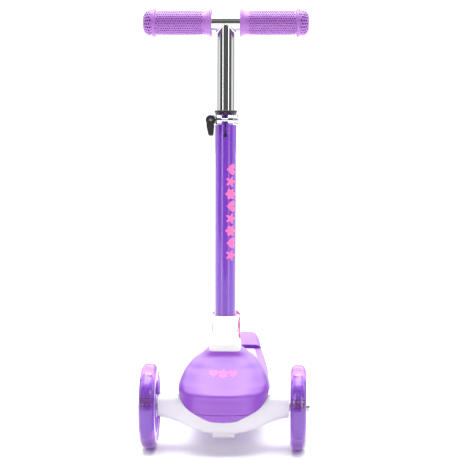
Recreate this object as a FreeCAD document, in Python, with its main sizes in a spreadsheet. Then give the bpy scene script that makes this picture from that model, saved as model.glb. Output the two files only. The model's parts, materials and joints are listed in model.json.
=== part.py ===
"""Child's three-wheel kick scooter: lean-to-steer front beam, folding column, T-bar, rear brake.

Row frame: +X is the scooter's left-to-right as seen from the front, -Y is forwards, +Z is up.
The ground is z = 0 and the origin is the centre of the footprint. Shapes that belong to the deck are
drawn in the axle frame, whose origin is on the ground below the front axle.
"""
import FreeCAD, Part
import math
import os
import Sketcher
from FreeCAD import Placement, Rotation, Vector

doc = FreeCAD.newDocument("KickScooter")
sheet = doc.addObject("Spreadsheet::Sheet", "Sizes")

# ---------------------------------------------------------------- driving dimensions, mm and degrees
SIZES = [
    # whole scooter
    ("fender_overhang", 55, "rear axle to the end of the fender"),
    ("wheelbase", 405, "front axle to rear axle"),
    ("track", 208, "between the front wheels' middles"),
    # front wheels
    ("wheel_radius", 60, "front wheel"),
    ("wheel_width", 22, "tread width"),
    ("wheel_crown", 8, "rounding at the tread's edges"),
    ("tyre_seat_radius", 45, "inside of the tyre, outside of the core"),
    ("core_ring", 8, "radial depth of the core's rim"),
    ("core_width", 20, "core along the axle"),
    ("core_web", 9, "spoke width along the axle"),
    ("hub_wall", 5, "hub around a bearing"),
    ("spoke_count", 5, "spokes and lamp modules"),
    ("spoke_width", 12, "spoke across"),
    ("module_width", 12, "lamp module round the rim"),
    ("module_depth", 5.5, "lamp module, radial"),
    ("module_length", 14, "lamp module along the axle"),
    ("magnet_radius", 9.3, "dynamo magnet ring"),
    # axles and bearings
    ("axle_radius", 4, "axle bolts and fold pin"),
    ("running_gap", 0.05, "radial gap of a running fit"),
    ("bearing_radius", 11, "bearing, outside"),
    ("bearing_width", 7, "bearing along the axle"),
    ("bearing_spread", 5, "between two bearings of a wheel"),
    ("spacer_radius", 6, "axle spacers, outside"),
    ("bolt_head_radius", 6, "axle bolt head"),
    ("bolt_head_length", 6.5, "axle bolt head"),
    # rear wheel
    ("rear_radius", 40, "rear wheel"),
    ("rear_seat_radius", 27, "inside of the rear tyre"),
    # front beam and its tilted kingpin
    ("kingpin_ahead", 8, "boss middle behind the front axle"),
    ("kingpin_height", 48, "boss middle above the ground"),
    ("kingpin_tilt", 45, "kingpin from upright, top forwards"),
    ("kingpin_radius", 5, "kingpin shank"),
    ("boss_radius", 15, "boss around the kingpin"),
    ("boss_half", 16, "half the boss length"),
    ("bushing_radius", 13, "urethane steer bushing"),
    ("bushing_length", 12, "urethane steer bushing"),
    ("beam_reach", 91.5, "beam's end face from the middle"),
    ("beam_depth", 40, "beam front to back at the middle"),
    ("beam_end_depth", 28, "beam front to back at the axle"),
    ("beam_end_height", 30, "beam's boss around the axle, low to high"),
    ("tab_width", 32, "lip under the beam"),
    # nose
    ("nose_width", 129, "widest part of the nose"),
    ("nose_reach", 55, "nose ahead of the front axle"),
    ("nose_wall", 3, "nose cover and pan wall"),
    ("seam_height", 60, "seam between nose cover and pan"),
    ("pad_height", 135, "top of the nose, under the fold base"),
    # deck
    ("deck_top", 75, "standing surface of the shell"),
    ("deck_depth", 25, "shell from top to underside"),
    ("deck_wall", 4, "shell walls and top"),
    ("deck_width", 121, "deck at the front"),
    ("deck_front", 62, "main deck starts behind the front axle"),
    ("tail_width", 46, "between the outsides of the fork arms"),
    ("fork_gap", 27, "between the fork arms"),
    ("mat_thickness", 2.5, "grip mat"),
    ("mat_margin", 13, "mat's edge inside the deck's edge"),
    ("neck_width", 60, "neck under the nose"),
    ("tongue_width", 44, "tongue over the pivot block"),
    ("tongue_bottom", 78, "underside of the tongue"),
    ("tongue_depth", 10, "tongue top to bottom"),
    # folding head and column
    ("pin_behind", 40, "fold pin behind the front axle"),
    ("pin_height", 160, "fold pin above the ground"),
    ("column_rake", 3, "column leans back"),
    ("tube_radius", 15, "steering tube, outside"),
    ("tube_wall", 1.5, "steering tube wall"),
    ("tube_start", 5, "tube's foot above the fold pin"),
    ("tube_end", 306, "tube's top above the fold pin"),
    ("knuckle_top", 60, "insert's top above the fold pin"),
    ("base_gap", 0.4, "gap between fold base and column"),
    ("waist_wall", 3, "fold base wall at its waist, outside the tube's radius"),
    ("rim_wall", 5.2, "fold base wall at its rim, outside the tube's radius"),
    ("base_top", 23, "rim above the fold pin"),
    ("flange_width", 44, "fold base flange"),
    ("flange_height", 12, "fold base flange"),
    ("lever_height", 186, "top of the release lever"),
    ("lever_width", 41, "release lever"),
    ("lever_plate", 3.5, "release lever thickness"),
    # clamp
    ("clamp_middle", 298, "clamp above the fold pin"),
    ("clamp_height", 14, "clamp collar"),
    ("clamp_wall", 3, "clamp collar wall"),
    ("clamp_gap", 9, "between the clamp's ears"),
    ("ear_thickness", 6.5, "each ear"),
    ("skewer_ahead", 6.5, "skewer in front of the tube's surface"),
    ("skewer_radius", 2.5, "skewer"),
    ("cam_radius", 6.7, "lever's cam"),
    ("lever_arm", 22, "lever's arm below its pin"),
    ("slot_width", 2, "slit in the tube's top"),
    ("slot_depth", 29, "slit from the tube's top to its hole"),
    ("slot_hole_radius", 2.8, "hole at the slit's end"),
    # T-bar
    ("stem_radius", 12, "T-bar tubes, outside"),
    ("stem_wall", 1.8, "T-bar tubes"),
    ("stem_start", 150, "stem's foot above the fold pin"),
    ("bar_height", 433.6, "crossbar's axis above the fold pin"),
    ("bar_half", 112, "half the crossbar's length"),
    ("bushing_lip", 0.8, "top bushing's flange beyond the tube's radius"),
    ("bushing_flange_height", 5.5, "top bushing's flange"),
    ("grip_radius", 16.4, "grip body"),
    ("grip_flange_radius", 19.6, "grip flanges"),
    ("grip_start", 20, "grip's inner end from the middle"),
    ("grip_length", 96, "grip"),
    ("grip_cap", 17.5, "grip's end cap with its ring"),
    # brake
    ("fender_inset", 0.6, "fender's sides inside the deck's edge"),
    ("fender_height", 11, "fender's top above the rear wheel"),
    ("fender_skin", 3.5, "fender's top"),
    ("fender_side", 2.5, "fender's sides"),
    ("fender_pin_ahead", 39, "fender pin ahead of the rear axle"),
    ("fender_pin_z", 68, "fender pin above the ground"),
    ("fender_pin_radius", 2.5, "fender pin"),
]

for row, (alias, number, note) in enumerate(SIZES, start=1):
    sheet.set(f"A{row}", alias)
    sheet.set(f"B{row}", str(number))
    sheet.set(f"C{row}", note)
    sheet.setAlias(f"B{row}", alias)
doc.recompute()


def size(alias):
    """The number in the sheet's cell of that name."""
    return float(sheet.get(alias))


FRONT_AXLE_Y = -(size("wheelbase") + size("fender_overhang") - size("wheel_radius")) / 2
AXLE_FRAME = Placement(Vector(0, FRONT_AXLE_Y, 0), Rotation())
PIN = Vector(0, size("pin_behind"), size("pin_height"))
COLUMN_FRAME = AXLE_FRAME * Placement(PIN, Rotation(Vector(1, 0, 0), -size("column_rake")))
KINGPIN_POINT = Vector(0, size("kingpin_ahead"), size("kingpin_height"))
# local +Z runs up the kingpin, forwards and upwards
KINGPIN_FRAME = AXLE_FRAME * Placement(KINGPIN_POINT, Rotation(Vector(1, 0, 0), size("kingpin_tilt")))
SCREW_RADIUS = 2.5
LEVER_PIN_RADIUS = 2
CAM_PIN_RADIUS = 2
CAM_WIDTH = 12
SCREW_HEIGHTS = (34, 50)  # knuckle screws above the fold pin
FAR = 100  # a tool's reach past any part it cuts
SIDES = (("left", -1), ("right", 1))
AXES = {"X": Rotation(Vector(0, 1, 0), 90), "Y": Rotation(Vector(1, 0, 0), -90), "Z": Rotation()}
PARTS = []


def keep(thing, label, placement=AXLE_FRAME):
    """Name a finished sub-part, place it and list it for export."""
    thing.Label = label
    thing.Placement = placement
    PARTS.append(thing)
    return thing


# ---------------------------------------------------------------- parametric helpers
def sheet_expression(text):
    """Turn '{alias}' marks into references to the sheet."""
    return text.replace("{", "Sizes.").replace("}", "")


def bind(thing, prop, amount):
    """Bind a property to a sheet expression, or set a plain number."""
    if isinstance(amount, str):
        thing.setExpression(prop, sheet_expression(amount))
    else:
        setattr(thing, prop, amount)


def origin_plane(body, role):
    return next(f for f in body.Origin.OriginFeatures if f.Role == role)


def sketch_outline(body, role, name, corners):
    """A closed straight-sided sketch whose corners are held by named, sheet-driven distances."""
    sketch = body.newObject("Sketcher::SketchObject", name)
    sketch.AttachmentSupport = [(origin_plane(body, role), "")]
    sketch.MapMode = "FlatFace"
    count = len(corners)
    rough = [Vector(10 * math.cos(2 * math.pi * i / count), 10 * math.sin(2 * math.pi * i / count), 0)
             for i in range(count)]
    for i in range(count):
        sketch.addGeometry(Part.LineSegment(rough[i], rough[(i + 1) % count]))
    for i in range(count):
        sketch.addConstraint(Sketcher.Constraint("Coincident", i, 2, (i + 1) % count, 1))
    for i, corner in enumerate(corners):
        for kind, amount in zip(("DistanceX", "DistanceY"), corner):
            index = sketch.addConstraint(Sketcher.Constraint(kind, -1, 1, i, 1, 1.0))
            label = f"{kind[-1].lower()}_corner_{i}"
            sketch.renameConstraint(index, label)
            sketch.setExpression(f"Constraints.{label}", sheet_expression(str(amount)))
    return sketch


def turned(label, along, profile, placement=AXLE_FRAME):
    """A body of revolution about local X or Z. The profile lists (station, radius)."""
    body = doc.addObject("PartDesign::Body", label.title().replace("_", ""))
    if along == "X":
        sketch = sketch_outline(body, "XY_Plane", label + "_profile", profile)
        axis = "H_Axis"
    else:
        sketch = sketch_outline(body, "XZ_Plane", label + "_profile", [(r, s) for s, r in profile])
        axis = "V_Axis"
    turn = body.newObject("PartDesign::Revolution", label + "_turned")
    turn.Profile = sketch
    turn.ReferenceAxis = (sketch, [axis])
    turn.Angle = 360
    body.Tip = turn
    doc.recompute()
    return keep(body, label, placement)


def round_edges(body, label, radius, wanted):
    """Fillet the edges of a body's tip that the test picks."""
    tip = body.Tip
    names = [f"Edge{i}" for i, edge in enumerate(tip.Shape.Edges, start=1) if wanted(edge)]
    fillet = body.newObject("PartDesign::Fillet", label)
    fillet.Base = (tip, names)
    bind(fillet, "Radius", radius)
    body.Tip = fillet
    doc.recompute()
    return body


def rod(name, radius, length, start=(0, 0, 0), along="Z"):
    """A bound cylinder from a start point along a local axis."""
    piece = doc.addObject("Part::Cylinder", name)
    bind(piece, "Radius", radius)
    bind(piece, "Height", length)
    piece.Placement = Placement(Vector(*start), AXES[along])
    return piece


def block(name, lengths, corner):
    """A bound box from its low corner."""
    piece = doc.addObject("Part::Box", name)
    for prop, amount in zip(("Length", "Width", "Height"), lengths):
        bind(piece, prop, amount)
    piece.Placement = Placement(Vector(*corner), Rotation())
    return piece


def joined(name, shapes):
    fuse = doc.addObject("Part::MultiFuse", name)
    fuse.Shapes = shapes
    return fuse


def grouped(name, pieces):
    group = doc.addObject("Part::Compound", name)
    group.Links = pieces
    return group


def less(name, base, tool):
    cut = doc.addObject("Part::Cut", name)
    cut.Base = base
    cut.Tool = tool
    return cut


def ring(name, outer, inner, length, start=(0, 0, 0), along="X"):
    """A plain tube: one bound cylinder cut from another."""
    return less(name, rod(name + "_outside", outer, length, start, along),
                rod(name + "_bore", inner, length, start, along))


# ---------------------------------------------------------------- free-form helpers
def free(label, shape, placement=AXLE_FRAME):
    """A sub-part whose shape is built directly from the sheet's numbers."""
    thing = doc.addObject("Part::Feature", label.title().replace("_", ""))
    thing.Shape = shape
    return keep(thing, label, placement)


def box(x_low, x_high, y_low, y_high, z_low, z_high):
    return Part.makeBox(x_high - x_low, y_high - y_low, z_high - z_low, Vector(x_low, y_low, z_low))


def bar(radius, start, direction, length):
    return Part.makeCylinder(radius, length, Vector(*start), Vector(*direction))


def cross_hole(radius, y, z):
    """A drill right through along X."""
    return bar(radius, (-FAR, y, z), (1, 0, 0), 2 * FAR)


def along_x(outline, half_width):
    """Extrude a closed (y, z) outline of edges to both sides of the middle plane."""
    face = Part.Face(Part.Wire(outline))
    face.translate(Vector(-half_width, 0, 0))
    return face.extrude(Vector(2 * half_width, 0, 0))


def straight(points):
    """Edges of a closed polygon."""
    return Part.makePolygon(points + points[:1]).Edges


def spline(points):
    curve = Part.BSplineCurve()
    curve.interpolate(points)
    return curve.toShape()


def superellipse_ring(place, half_width, first, last, power, middle=None, count=28):
    """A closed smooth ring, rounder or squarer by its power.

    place(across, along) gives the point. first and last are where the ring starts and ends along,
    and middle is where it is widest.
    """
    middle = (first + last) / 2 if middle is None else middle
    points = []
    for i in range(count):
        angle = 2 * math.pi * i / count
        c, s = math.cos(angle), math.sin(angle)
        across = half_width * math.copysign(abs(c) ** (2 / power), c)
        reach = last - middle if s > 0 else middle - first
        along = middle + reach * math.copysign(abs(s) ** (2 / power), s)
        points.append(place(across, along))
    curve = Part.BSplineCurve()
    curve.interpolate(Points=points, PeriodicFlag=True)
    return Part.Wire(curve.toShape())


# ---------------------------------------------------------------- wheels
def front_wheel(side, sign):
    """Tyre, spoked core, lamp modules and bearings about local X, outboard at +X."""
    turn = Rotation() if sign > 0 else Rotation(Vector(0, 0, 1), 180)
    place = AXLE_FRAME * Placement(Vector(sign * size("track") / 2, 0, size("wheel_radius")), turn)

    half = "{wheel_width} / 2"
    tyre = turned(f"tyre_{side}", "X", [
        (f"-{half}", "{tyre_seat_radius}"), (half, "{tyre_seat_radius}"),
        (half, "{wheel_radius}"), (f"-{half}", "{wheel_radius}")], place)
    round_edges(tyre, f"tyre_{side}_crown", "{wheel_crown}",
                lambda e: e.Curve.TypeId == "Part::GeomCircle"
                and abs(e.Curve.Radius - size("wheel_radius")) < 0.01)

    rim = "{tyre_seat_radius} - {core_ring}"
    hub = "{bearing_radius} + {hub_wall}"
    core = turned(f"core_{side}", "X", [
        ("-{core_width} / 2", "{bearing_radius}"), ("{core_width} / 2", "{bearing_radius}"),
        ("{core_width} / 2", hub), ("{core_web} / 2", hub + " + 2"),
        ("{core_web} / 2", rim + " - 2"), ("{core_width} / 2", rim),
        ("{core_width} / 2", "{tyre_seat_radius}"), ("-{core_width} / 2", "{tyre_seat_radius}"),
        ("-{core_width} / 2", rim), ("-{core_web} / 2", rim + " - 2"),
        ("-{core_web} / 2", hub + " + 2"), ("-{core_width} / 2", hub)], place)
    cut_pattern(core, f"core_{side}_window", window_corners(), "{core_width}")
    cut_pattern(core, f"core_{side}_pocket", module_corners(), "{module_length}")

    turn_step = 360 / size("spoke_count")
    seat = module_top() - size("module_depth")
    corner = Vector(-size("module_length") / 2, -size("module_width") / 2, seat)
    modules = []
    for i in range(int(size("spoke_count"))):
        module = block(f"module_{side}_{i}", ("{module_length}", "{module_width}", "{module_depth}"),
                       (0, 0, 0))
        spin = Rotation(Vector(1, 0, 0), i * turn_step)
        module.Placement = Placement(Vector(), spin) * Placement(corner, Rotation())
        modules.append(module)
    keep(grouped(f"Lamps_{side}", modules), f"lamp_modules_{side}", place)

    bore = "{axle_radius} + {running_gap}"
    inner = -(size("bearing_spread") / 2 + size("bearing_width"))
    bearings = [ring(f"bearing_{side}_{n}", "{bearing_radius}", bore, "{bearing_width}", (x, 0, 0))
                for n, x in (("inner", inner), ("outer", size("bearing_spread") / 2))]
    keep(grouped(f"Bearings_{side}", bearings), f"bearings_{side}", place)


def module_top():
    """Outer face of a lamp module, so that its corners stay inside the tyre's seat."""
    return math.sqrt((size("tyre_seat_radius") - 0.1) ** 2 - (size("module_width") / 2) ** 2)


def window_corners():
    """One opening between two spokes, in the wheel's plane, as (y, z) of the body's YZ plane."""
    low = size("bearing_radius") + size("hub_wall") + 2.5
    high = size("tyre_seat_radius") - size("core_ring") - 2.5
    gap = math.pi / size("spoke_count")
    half = size("spoke_width") / 2
    corners = []
    for radius in (low, high):
        corners.append((radius, gap - math.asin(half / radius)))
    (low, low_angle), (high, high_angle) = corners
    middle = math.pi / 2 + gap
    points = [(low, middle - low_angle), (low, middle + low_angle), (high, middle + high_angle),
              (high, middle), (high, middle - high_angle)]
    return [(r * math.cos(a), r * math.sin(a)) for r, a in points]


def module_corners():
    """The seat of the lamp module that stands over the top spoke."""
    half, top = size("module_width") / 2, module_top()
    low, high = top - size("module_depth"), size("tyre_seat_radius") + 1
    return [(-half, low), (half, low), (half, high), (-half, high)]


def cut_pattern(body, name, corners, length):
    """Pocket an outline through a wheel's core and repeat it round the axle."""
    before = body.Shape.Volume
    sketch = sketch_outline(body, "YZ_Plane", name + "_sketch", corners)
    pocket = body.newObject("PartDesign::Pocket", name)
    pocket.Profile = sketch
    pocket.Midplane = True
    bind(pocket, "Length", length)
    pattern = body.newObject("PartDesign::PolarPattern", name + "s")
    pattern.Originals = [pocket]
    pattern.Axis = (sketch, ["N_Axis"])
    pattern.Angle = 360
    bind(pattern, "Occurrences", "{spoke_count}")
    body.Tip = pattern
    doc.recompute()
    if body.Shape.Volume >= before - 1:
        raise RuntimeError(f"{name} cut nothing")


def axle_set(side, sign):
    """Bolt, spacers and dynamo magnet of one front wheel, which stay with the beam."""
    turn = Rotation() if sign > 0 else Rotation(Vector(0, 0, 1), 180)
    place = AXLE_FRAME * Placement(Vector(sign * size("track") / 2, 0, size("wheel_radius")), turn)
    outer = "{bearing_spread} / 2 + {bearing_width}"
    anchor = "-({track} / 2 - {beam_reach} + 34)"
    head_end = size("bearing_spread") / 2 + size("bearing_width") + size("bolt_head_length")
    bolt = turned(f"axle_bolt_{side}", "X", [
        (anchor, 0), (anchor, "{axle_radius}"), (outer + " + 1", "{axle_radius}"),
        (outer + " + 1", "{bolt_head_radius}"), (outer + " + {bolt_head_length}", "{bolt_head_radius}"),
        (outer + " + {bolt_head_length}", 0)], place)
    round_edges(bolt, f"axle_bolt_{side}_crown", 1.2,
                lambda e: e.Curve.TypeId == "Part::GeomCircle"
                and abs(e.CenterOfMass.x - head_end) < 0.01)
    beam_face = -(size("track") / 2 - size("beam_reach"))
    bearing_face = -(size("bearing_spread") / 2 + size("bearing_width"))
    spacers = [
        ring(f"spacer_{side}_inner", "{spacer_radius}", "{axle_radius}",
             "{track} / 2 - {beam_reach} - {bearing_spread} / 2 - {bearing_width}", (beam_face, 0, 0)),
        ring(f"spacer_{side}_middle", "{spacer_radius}", "{axle_radius}", "{bearing_spread}",
             (-size("bearing_spread") / 2, 0, 0)),
        ring(f"spacer_{side}_outer", "{spacer_radius}", "{axle_radius}", 1, (-bearing_face, 0, 0)),
    ]
    keep(grouped(f"Spacers_{side}", spacers), f"axle_spacers_{side}", place)
    magnet = ring(f"magnet_{side}", "{magnet_radius}", "{spacer_radius}", "{bearing_spread} - 0.6",
                  (0.3 - size("bearing_spread") / 2, 0, 0))
    keep(magnet, f"magnet_ring_{side}", place)


def rear_wheel():
    """Small rear wheel, its bearings, spacers, axle bolt and nut."""
    place = AXLE_FRAME * Placement(Vector(0, size("wheelbase"), size("rear_radius")), Rotation())
    half = "{wheel_width} / 2"
    tyre = turned("rear_tyre", "X", [
        (f"-{half}", "{rear_seat_radius}"), (half, "{rear_seat_radius}"),
        (half, "{rear_radius}"), (f"-{half}", "{rear_radius}")], place)
    round_edges(tyre, "rear_tyre_crown", "{wheel_crown} - 2",
                lambda e: e.Curve.TypeId == "Part::GeomCircle"
                and abs(e.Curve.Radius - size("rear_radius")) < 0.01)
    turned("rear_core", "X", [
        (f"-{half}", "{bearing_radius}"), (half, "{bearing_radius}"), (half, "{bearing_radius} + 4"),
        ("{core_web} / 2", "{bearing_radius} + 5"), ("{core_web} / 2", "{rear_seat_radius} - 4"),
        (half, "{rear_seat_radius} - 3"), (half, "{rear_seat_radius}"), (f"-{half}", "{rear_seat_radius}"),
        (f"-{half}", "{rear_seat_radius} - 3"), ("-{core_web} / 2", "{rear_seat_radius} - 4"),
        ("-{core_web} / 2", "{bearing_radius} + 5"), (f"-{half}", "{bearing_radius} + 4")], place)
    edge = size("wheel_width") / 2
    bore = "{axle_radius} + {running_gap}"
    bearings = [ring(f"rear_bearing_{n}", "{bearing_radius}", bore, "{bearing_width}", (x, 0, 0))
                for n, x in (("one", -edge), ("two", edge - size("bearing_width")))]
    keep(grouped("RearBearings", bearings), "rear_bearings", place)

    gap = "({fork_gap} - {wheel_width}) / 2"
    spacers = [ring(f"rear_spacer_{n}", "{spacer_radius}", "{axle_radius}", gap, (x, 0, 0))
               for n, x in (("one", -size("fork_gap") / 2), ("two", edge))]
    spacers.append(ring("rear_sleeve", "{spacer_radius}", "{axle_radius}",
                        "{wheel_width} - 2 * {bearing_width}", (size("bearing_width") - edge, 0, 0)))
    keep(grouped("RearSpacers", spacers), "rear_spacers", place)
    side = "{tail_width} / 2"
    turned("rear_axle_bolt", "X", [
        (f"-{side} - 5", 0), (f"-{side} - 5", "{bolt_head_radius} - 1"),
        (f"-{side} - 4", "{bolt_head_radius}"),
        (f"-{side}", "{bolt_head_radius}"), (f"-{side}", "{axle_radius}"),
        (f"{side} + 7", "{axle_radius}"), (f"{side} + 7", 0)], place)
    nut = doc.addObject("Part::Prism", "RearNutBody")
    nut.Polygon = 6
    bind(nut, "Circumradius", "{bolt_head_radius} + 1.5")
    bind(nut, "Height", 6)
    nut.Placement = Placement(Vector(size("tail_width") / 2, 0, 0), AXES["X"])
    shank = rod("RearNutBore", "{axle_radius}", 6, (size("tail_width") / 2, 0, 0), "X")
    keep(less("RearNut", nut, shank), "rear_axle_nut", place)


# ---------------------------------------------------------------- front truck
def beam_ring(x, low, high, depth, power):
    """A section of the beam across X."""
    return superellipse_ring(lambda across, up: Vector(x, across, up), depth / 2, low, high, power)


def front_beam():
    """Swept beam: low in the middle, rising to an axle boss at each end, hung on a tilted boss."""
    reach, depth, end_depth = size("beam_reach"), size("beam_depth"), size("beam_end_depth")
    axle = size("wheel_radius")
    boss = size("beam_end_height") / 2
    half = [
        (0, 24, 54, depth, 4), (16, 24, 54, depth, 4), (36, 28, 60, depth - 3, 4),
        (50, 33, 70, depth - 8, 4), (64, 38.5, axle + boss + 1.5, end_depth, 3.5),
        (78, 43, axle + boss + 1.5, end_depth - 1, 3), (reach, axle - boss + 1, axle + boss + 1, end_depth, 2.6),
    ]
    stations = [(-x, *rest) for x, *rest in reversed(half[1:])] + half
    beam = Part.makeLoft([beam_ring(*station) for station in stations], True, False)

    local = Placement(KINGPIN_POINT, Rotation(Vector(1, 0, 0), size("kingpin_tilt")))
    up = local.Rotation.multVec(Vector(0, 0, 1))
    at = lambda s: KINGPIN_POINT + up * s
    top = size("boss_half")
    boss_solid = Part.makeCylinder(size("boss_radius"), 2 * top, at(-top), up)
    tab = size("tab_width") / 2
    lip = box(-tab, tab, -12, 12, 18, 30)
    lip = lip.makeFillet(3, [e for e in lip.Edges if abs(e.BoundBox.ZMax - 18) < 0.01
                             or e.BoundBox.ZLength > 5])
    beam = beam.fuse([boss_solid, lip])
    beam = beam.cut([
        Part.makeCylinder(size("kingpin_radius") + size("running_gap"), 2 * FAR, at(-FAR), up),
        Part.makeCylinder(2 * size("boss_radius") + 1, FAR, at(top), up),
        Part.makeCylinder(size("bushing_radius") + 2.5, FAR, at(-top - FAR), up),
        bar(size("axle_radius"), (-reach - 1, 0, axle), (1, 0, 0), 35),
        bar(size("axle_radius"), (reach + 1, 0, axle), (-1, 0, 0), 35),
    ])
    free("front_beam", beam.removeSplitter())


def steer_stack():
    """What is threaded on the kingpin, from the hex head upwards."""
    top = size("boss_half")
    running = "{kingpin_radius} + {running_gap}"
    turned("thrust_washer", "Z", [
        ("{boss_half}", running), ("{boss_half}", "{boss_radius} - 1"),
        ("{boss_half} + 2", "{boss_radius} - 1"), ("{boss_half} + 2", running)], KINGPIN_FRAME)
    low = "-{boss_half} - {bushing_length}"
    turned("steer_bushing", "Z", [
        (low, running), (low, "{bushing_radius} - 2"), ("-{boss_half} - 3", "{bushing_radius}"),
        ("-{boss_half}", "{bushing_radius}"), ("-{boss_half}", running)], KINGPIN_FRAME)
    turned("cup_washer", "Z", [
        (low + " - 2.1", "{kingpin_radius}"), (low + " - 2.1", "{bushing_radius} + 1"),
        (low + " - 0.1", "{bushing_radius} + 1"), (low + " - 0.1", "{kingpin_radius}")], KINGPIN_FRAME)
    foot = -top - size("bushing_length") - 2.1
    head = doc.addObject("Part::Prism", "KingpinHead")
    head.Polygon = 6
    bind(head, "Circumradius", "{kingpin_radius} * 1.6")
    bind(head, "Height", 6)
    head.Placement = Placement(Vector(0, 0, foot - 6), Rotation())
    shank = rod("KingpinShank", "{kingpin_radius}", "{boss_half} * 2 + {bushing_length} + 23", (0, 0, foot))
    keep(joined("Kingpin", [head, shank]), "kingpin", KINGPIN_FRAME)


def pivot_block():
    """Wedge under the tongue that holds the kingpin's thread."""
    tilt = math.radians(size("kingpin_tilt"))
    face = size("boss_half") + 2.2
    foot = KINGPIN_POINT + Vector(0, -math.sin(tilt) * face, math.cos(tilt) * face)
    slope = Vector(0, math.cos(tilt), math.sin(tilt))
    low, high = foot - slope * 16, foot + slope * 16
    top = size("tongue_bottom")
    outline = straight([low, high, Vector(0, high.y, top), Vector(0, low.y - 20, top),
                        Vector(0, low.y - 20, low.z + 9), Vector(0, low.y - 8, low.z)])
    body = along_x(outline, 17)
    body = body.makeFillet(2, [e for e in body.Edges if e.BoundBox.XLength < 0.01
                               and e.BoundBox.ZMax < top - 0.01 and e.CenterOfMass.y < low.y - 1])
    up = Vector(0, -math.sin(tilt), math.cos(tilt))
    reach = size("boss_half") + 20.9
    body = body.cut(Part.makeCylinder(size("kingpin_radius"), reach, KINGPIN_POINT, up))
    for screw in pivot_screws():
        body = body.cut(screw)
    free("pivot_block", body)
    free("pivot_block_screws", Part.makeCompound(pivot_screws()))


def pivot_screws():
    """Two socket screws down through the tongue into the block."""
    top = size("tongue_bottom") + size("tongue_depth")
    screws = []
    for x in (-11, 11):
        shank = bar(SCREW_RADIUS, (x, -24, top - 22), (0, 0, 1), 22)
        head = bar(4.2, (x, -24, top), (0, 0, 1), 3)
        screws.append(shank.fuse(head).removeSplitter())
    return screws


# ---------------------------------------------------------------- nose
def nose_sections():
    """Height, half width, front, rear, squareness and widest station of each level of the nose."""
    half, front = size("nose_width") / 2, size("nose_reach")
    seam, pad = size("seam_height"), size("pad_height")
    rise = pad - seam
    at = lambda share: seam + rise * share
    return [
        (at(-0.213), 0.969 * half, 1.5 - front, 92, 2.3, 10),
        (at(-0.139), 0.977 * half, 1.1 - front, 93, 2.3, 10.4),
        (at(-0.067), 0.985 * half, 0.7 - front, 94, 2.34, 10.8),
        (seam, 0.991 * half, 0.4 - front, 95, 2.36, 11.2),
        (at(0.060), 0.995 * half, 0.2 - front, 95.5, 2.37, 11.4),
        (at(0.133), 0.998 * half, 0.1 - front, 96, 2.38, 11.6),
        (at(0.213), 0.999 * half, -front, 96.5, 2.39, 11.8),
        (at(0.293), half, -front, 97, 2.4, 12),
        (at(0.347), half, 0.6 - front, 97, 2.4, 12),
        (at(0.387), 0.994 * half, 4 - front, 97, 2.4, 13),
        (at(0.433), 0.980 * half, 10 - front, 96, 2.45, 14),
        (at(0.493), 0.957 * half, 18.5 - front, 95, 2.5, 16),
        (at(0.573), 0.918 * half, 29 - front, 92, 2.6, 20),
        (at(0.667), 0.851 * half, 40.5 - front, 88, 2.7, 25),
        (at(0.760), 0.758 * half, 51 - front, 83, 2.8, 31),
        (at(0.853), 0.614 * half, 61 - front, 77, 3, 37),
        (at(0.933), 0.481 * half, 67.5 - front, 73, 3.4, 41),
        (pad, 0.391 * half, 70 - front, 69.5, 4, 42),
    ]


def nose_solid(inset, sections):
    """The nose's outer form, or with an inset the room inside it."""
    rings = []
    for z, half, front, rear, power, middle in sections:
        rings.append(superellipse_ring(lambda x, y, z=z: Vector(x, y, z - inset),
                                       half - inset, front + inset, rear - inset, power, middle))
    return Part.makeLoft(rings, True, False)


def nose_bowl(lift):
    """Everything under the nose's lower rim, which rises from the middle to the sides, raised by a lift."""
    half, seam = size("nose_width") / 2, size("seam_height")
    right = [(0, -10.8), (0.13, -10.6), (0.25, -9.9), (0.36, -7.7), (0.47, -4.6), (0.62, -0.5), (0.73, 3.1),
             (0.81, 6.4), (0.876, 10.6), (0.938, 15.8), (1.03, 25)]
    rim = [Vector(half * x, 0, seam + z + lift) for x, z in right]
    rim = [Vector(-p.x, 0, p.z) for p in rim[:0:-1]] + rim
    first, last = rim[0], rim[-1]
    under = Part.makePolygon([last, Vector(last.x, 0, 0), Vector(first.x, 0, 0), first])
    below = Part.Face(Part.Wire([spline(rim)] + under.Edges)).extrude(Vector(0, 400, 0))
    below.translate(Vector(0, -150, 0))
    return below


def nose():
    """Upper cover with arches for the beam, and the pan that closes its front underneath."""
    sections = nose_sections()
    wall, seam, deck_front, top = (size(n) for n in ("nose_wall", "seam_height", "deck_front", "deck_top"))
    far, closed = size("nose_width"), -33
    outer = nose_solid(0, sections).cut(nose_bowl(0))
    floor = nose_bowl(wall).common(box(-far, far, -100, closed, 0, top + 60))
    room = nose_solid(wall, sections).cut(floor)
    arch_top = size("wheel_radius") + 26
    arch = along_x(straight([Vector(0, -20, 0), Vector(0, -20, arch_top - 17), Vector(0, -8, arch_top),
                             Vector(0, deck_front - 24, arch_top), Vector(0, deck_front, arch_top - 12),
                             Vector(0, deck_front, 0)]), far)
    cover = outer.common(box(-far, far, -100, 200, seam, size("pad_height") + 1))
    cover = cover.cut([room, box(-far, far, deck_front - 0.3, 200, 0, top), arch] + base_bolts())
    free("nose_cover", largest(cover))
    groove = box(-far, far, -100, closed, seam - 1, seam).cut(nose_solid(1.2, sections))
    free("nose_pan", largest(outer.common(box(-far, far, -100, closed, 0, seam)).cut([room, groove])))


def largest(shape):
    """The biggest solid of a cut."""
    return max(shape.Solids, key=lambda s: s.Volume)


# ---------------------------------------------------------------- deck
def fender_pin_y():
    return size("wheelbase") - size("fender_pin_ahead")


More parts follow.
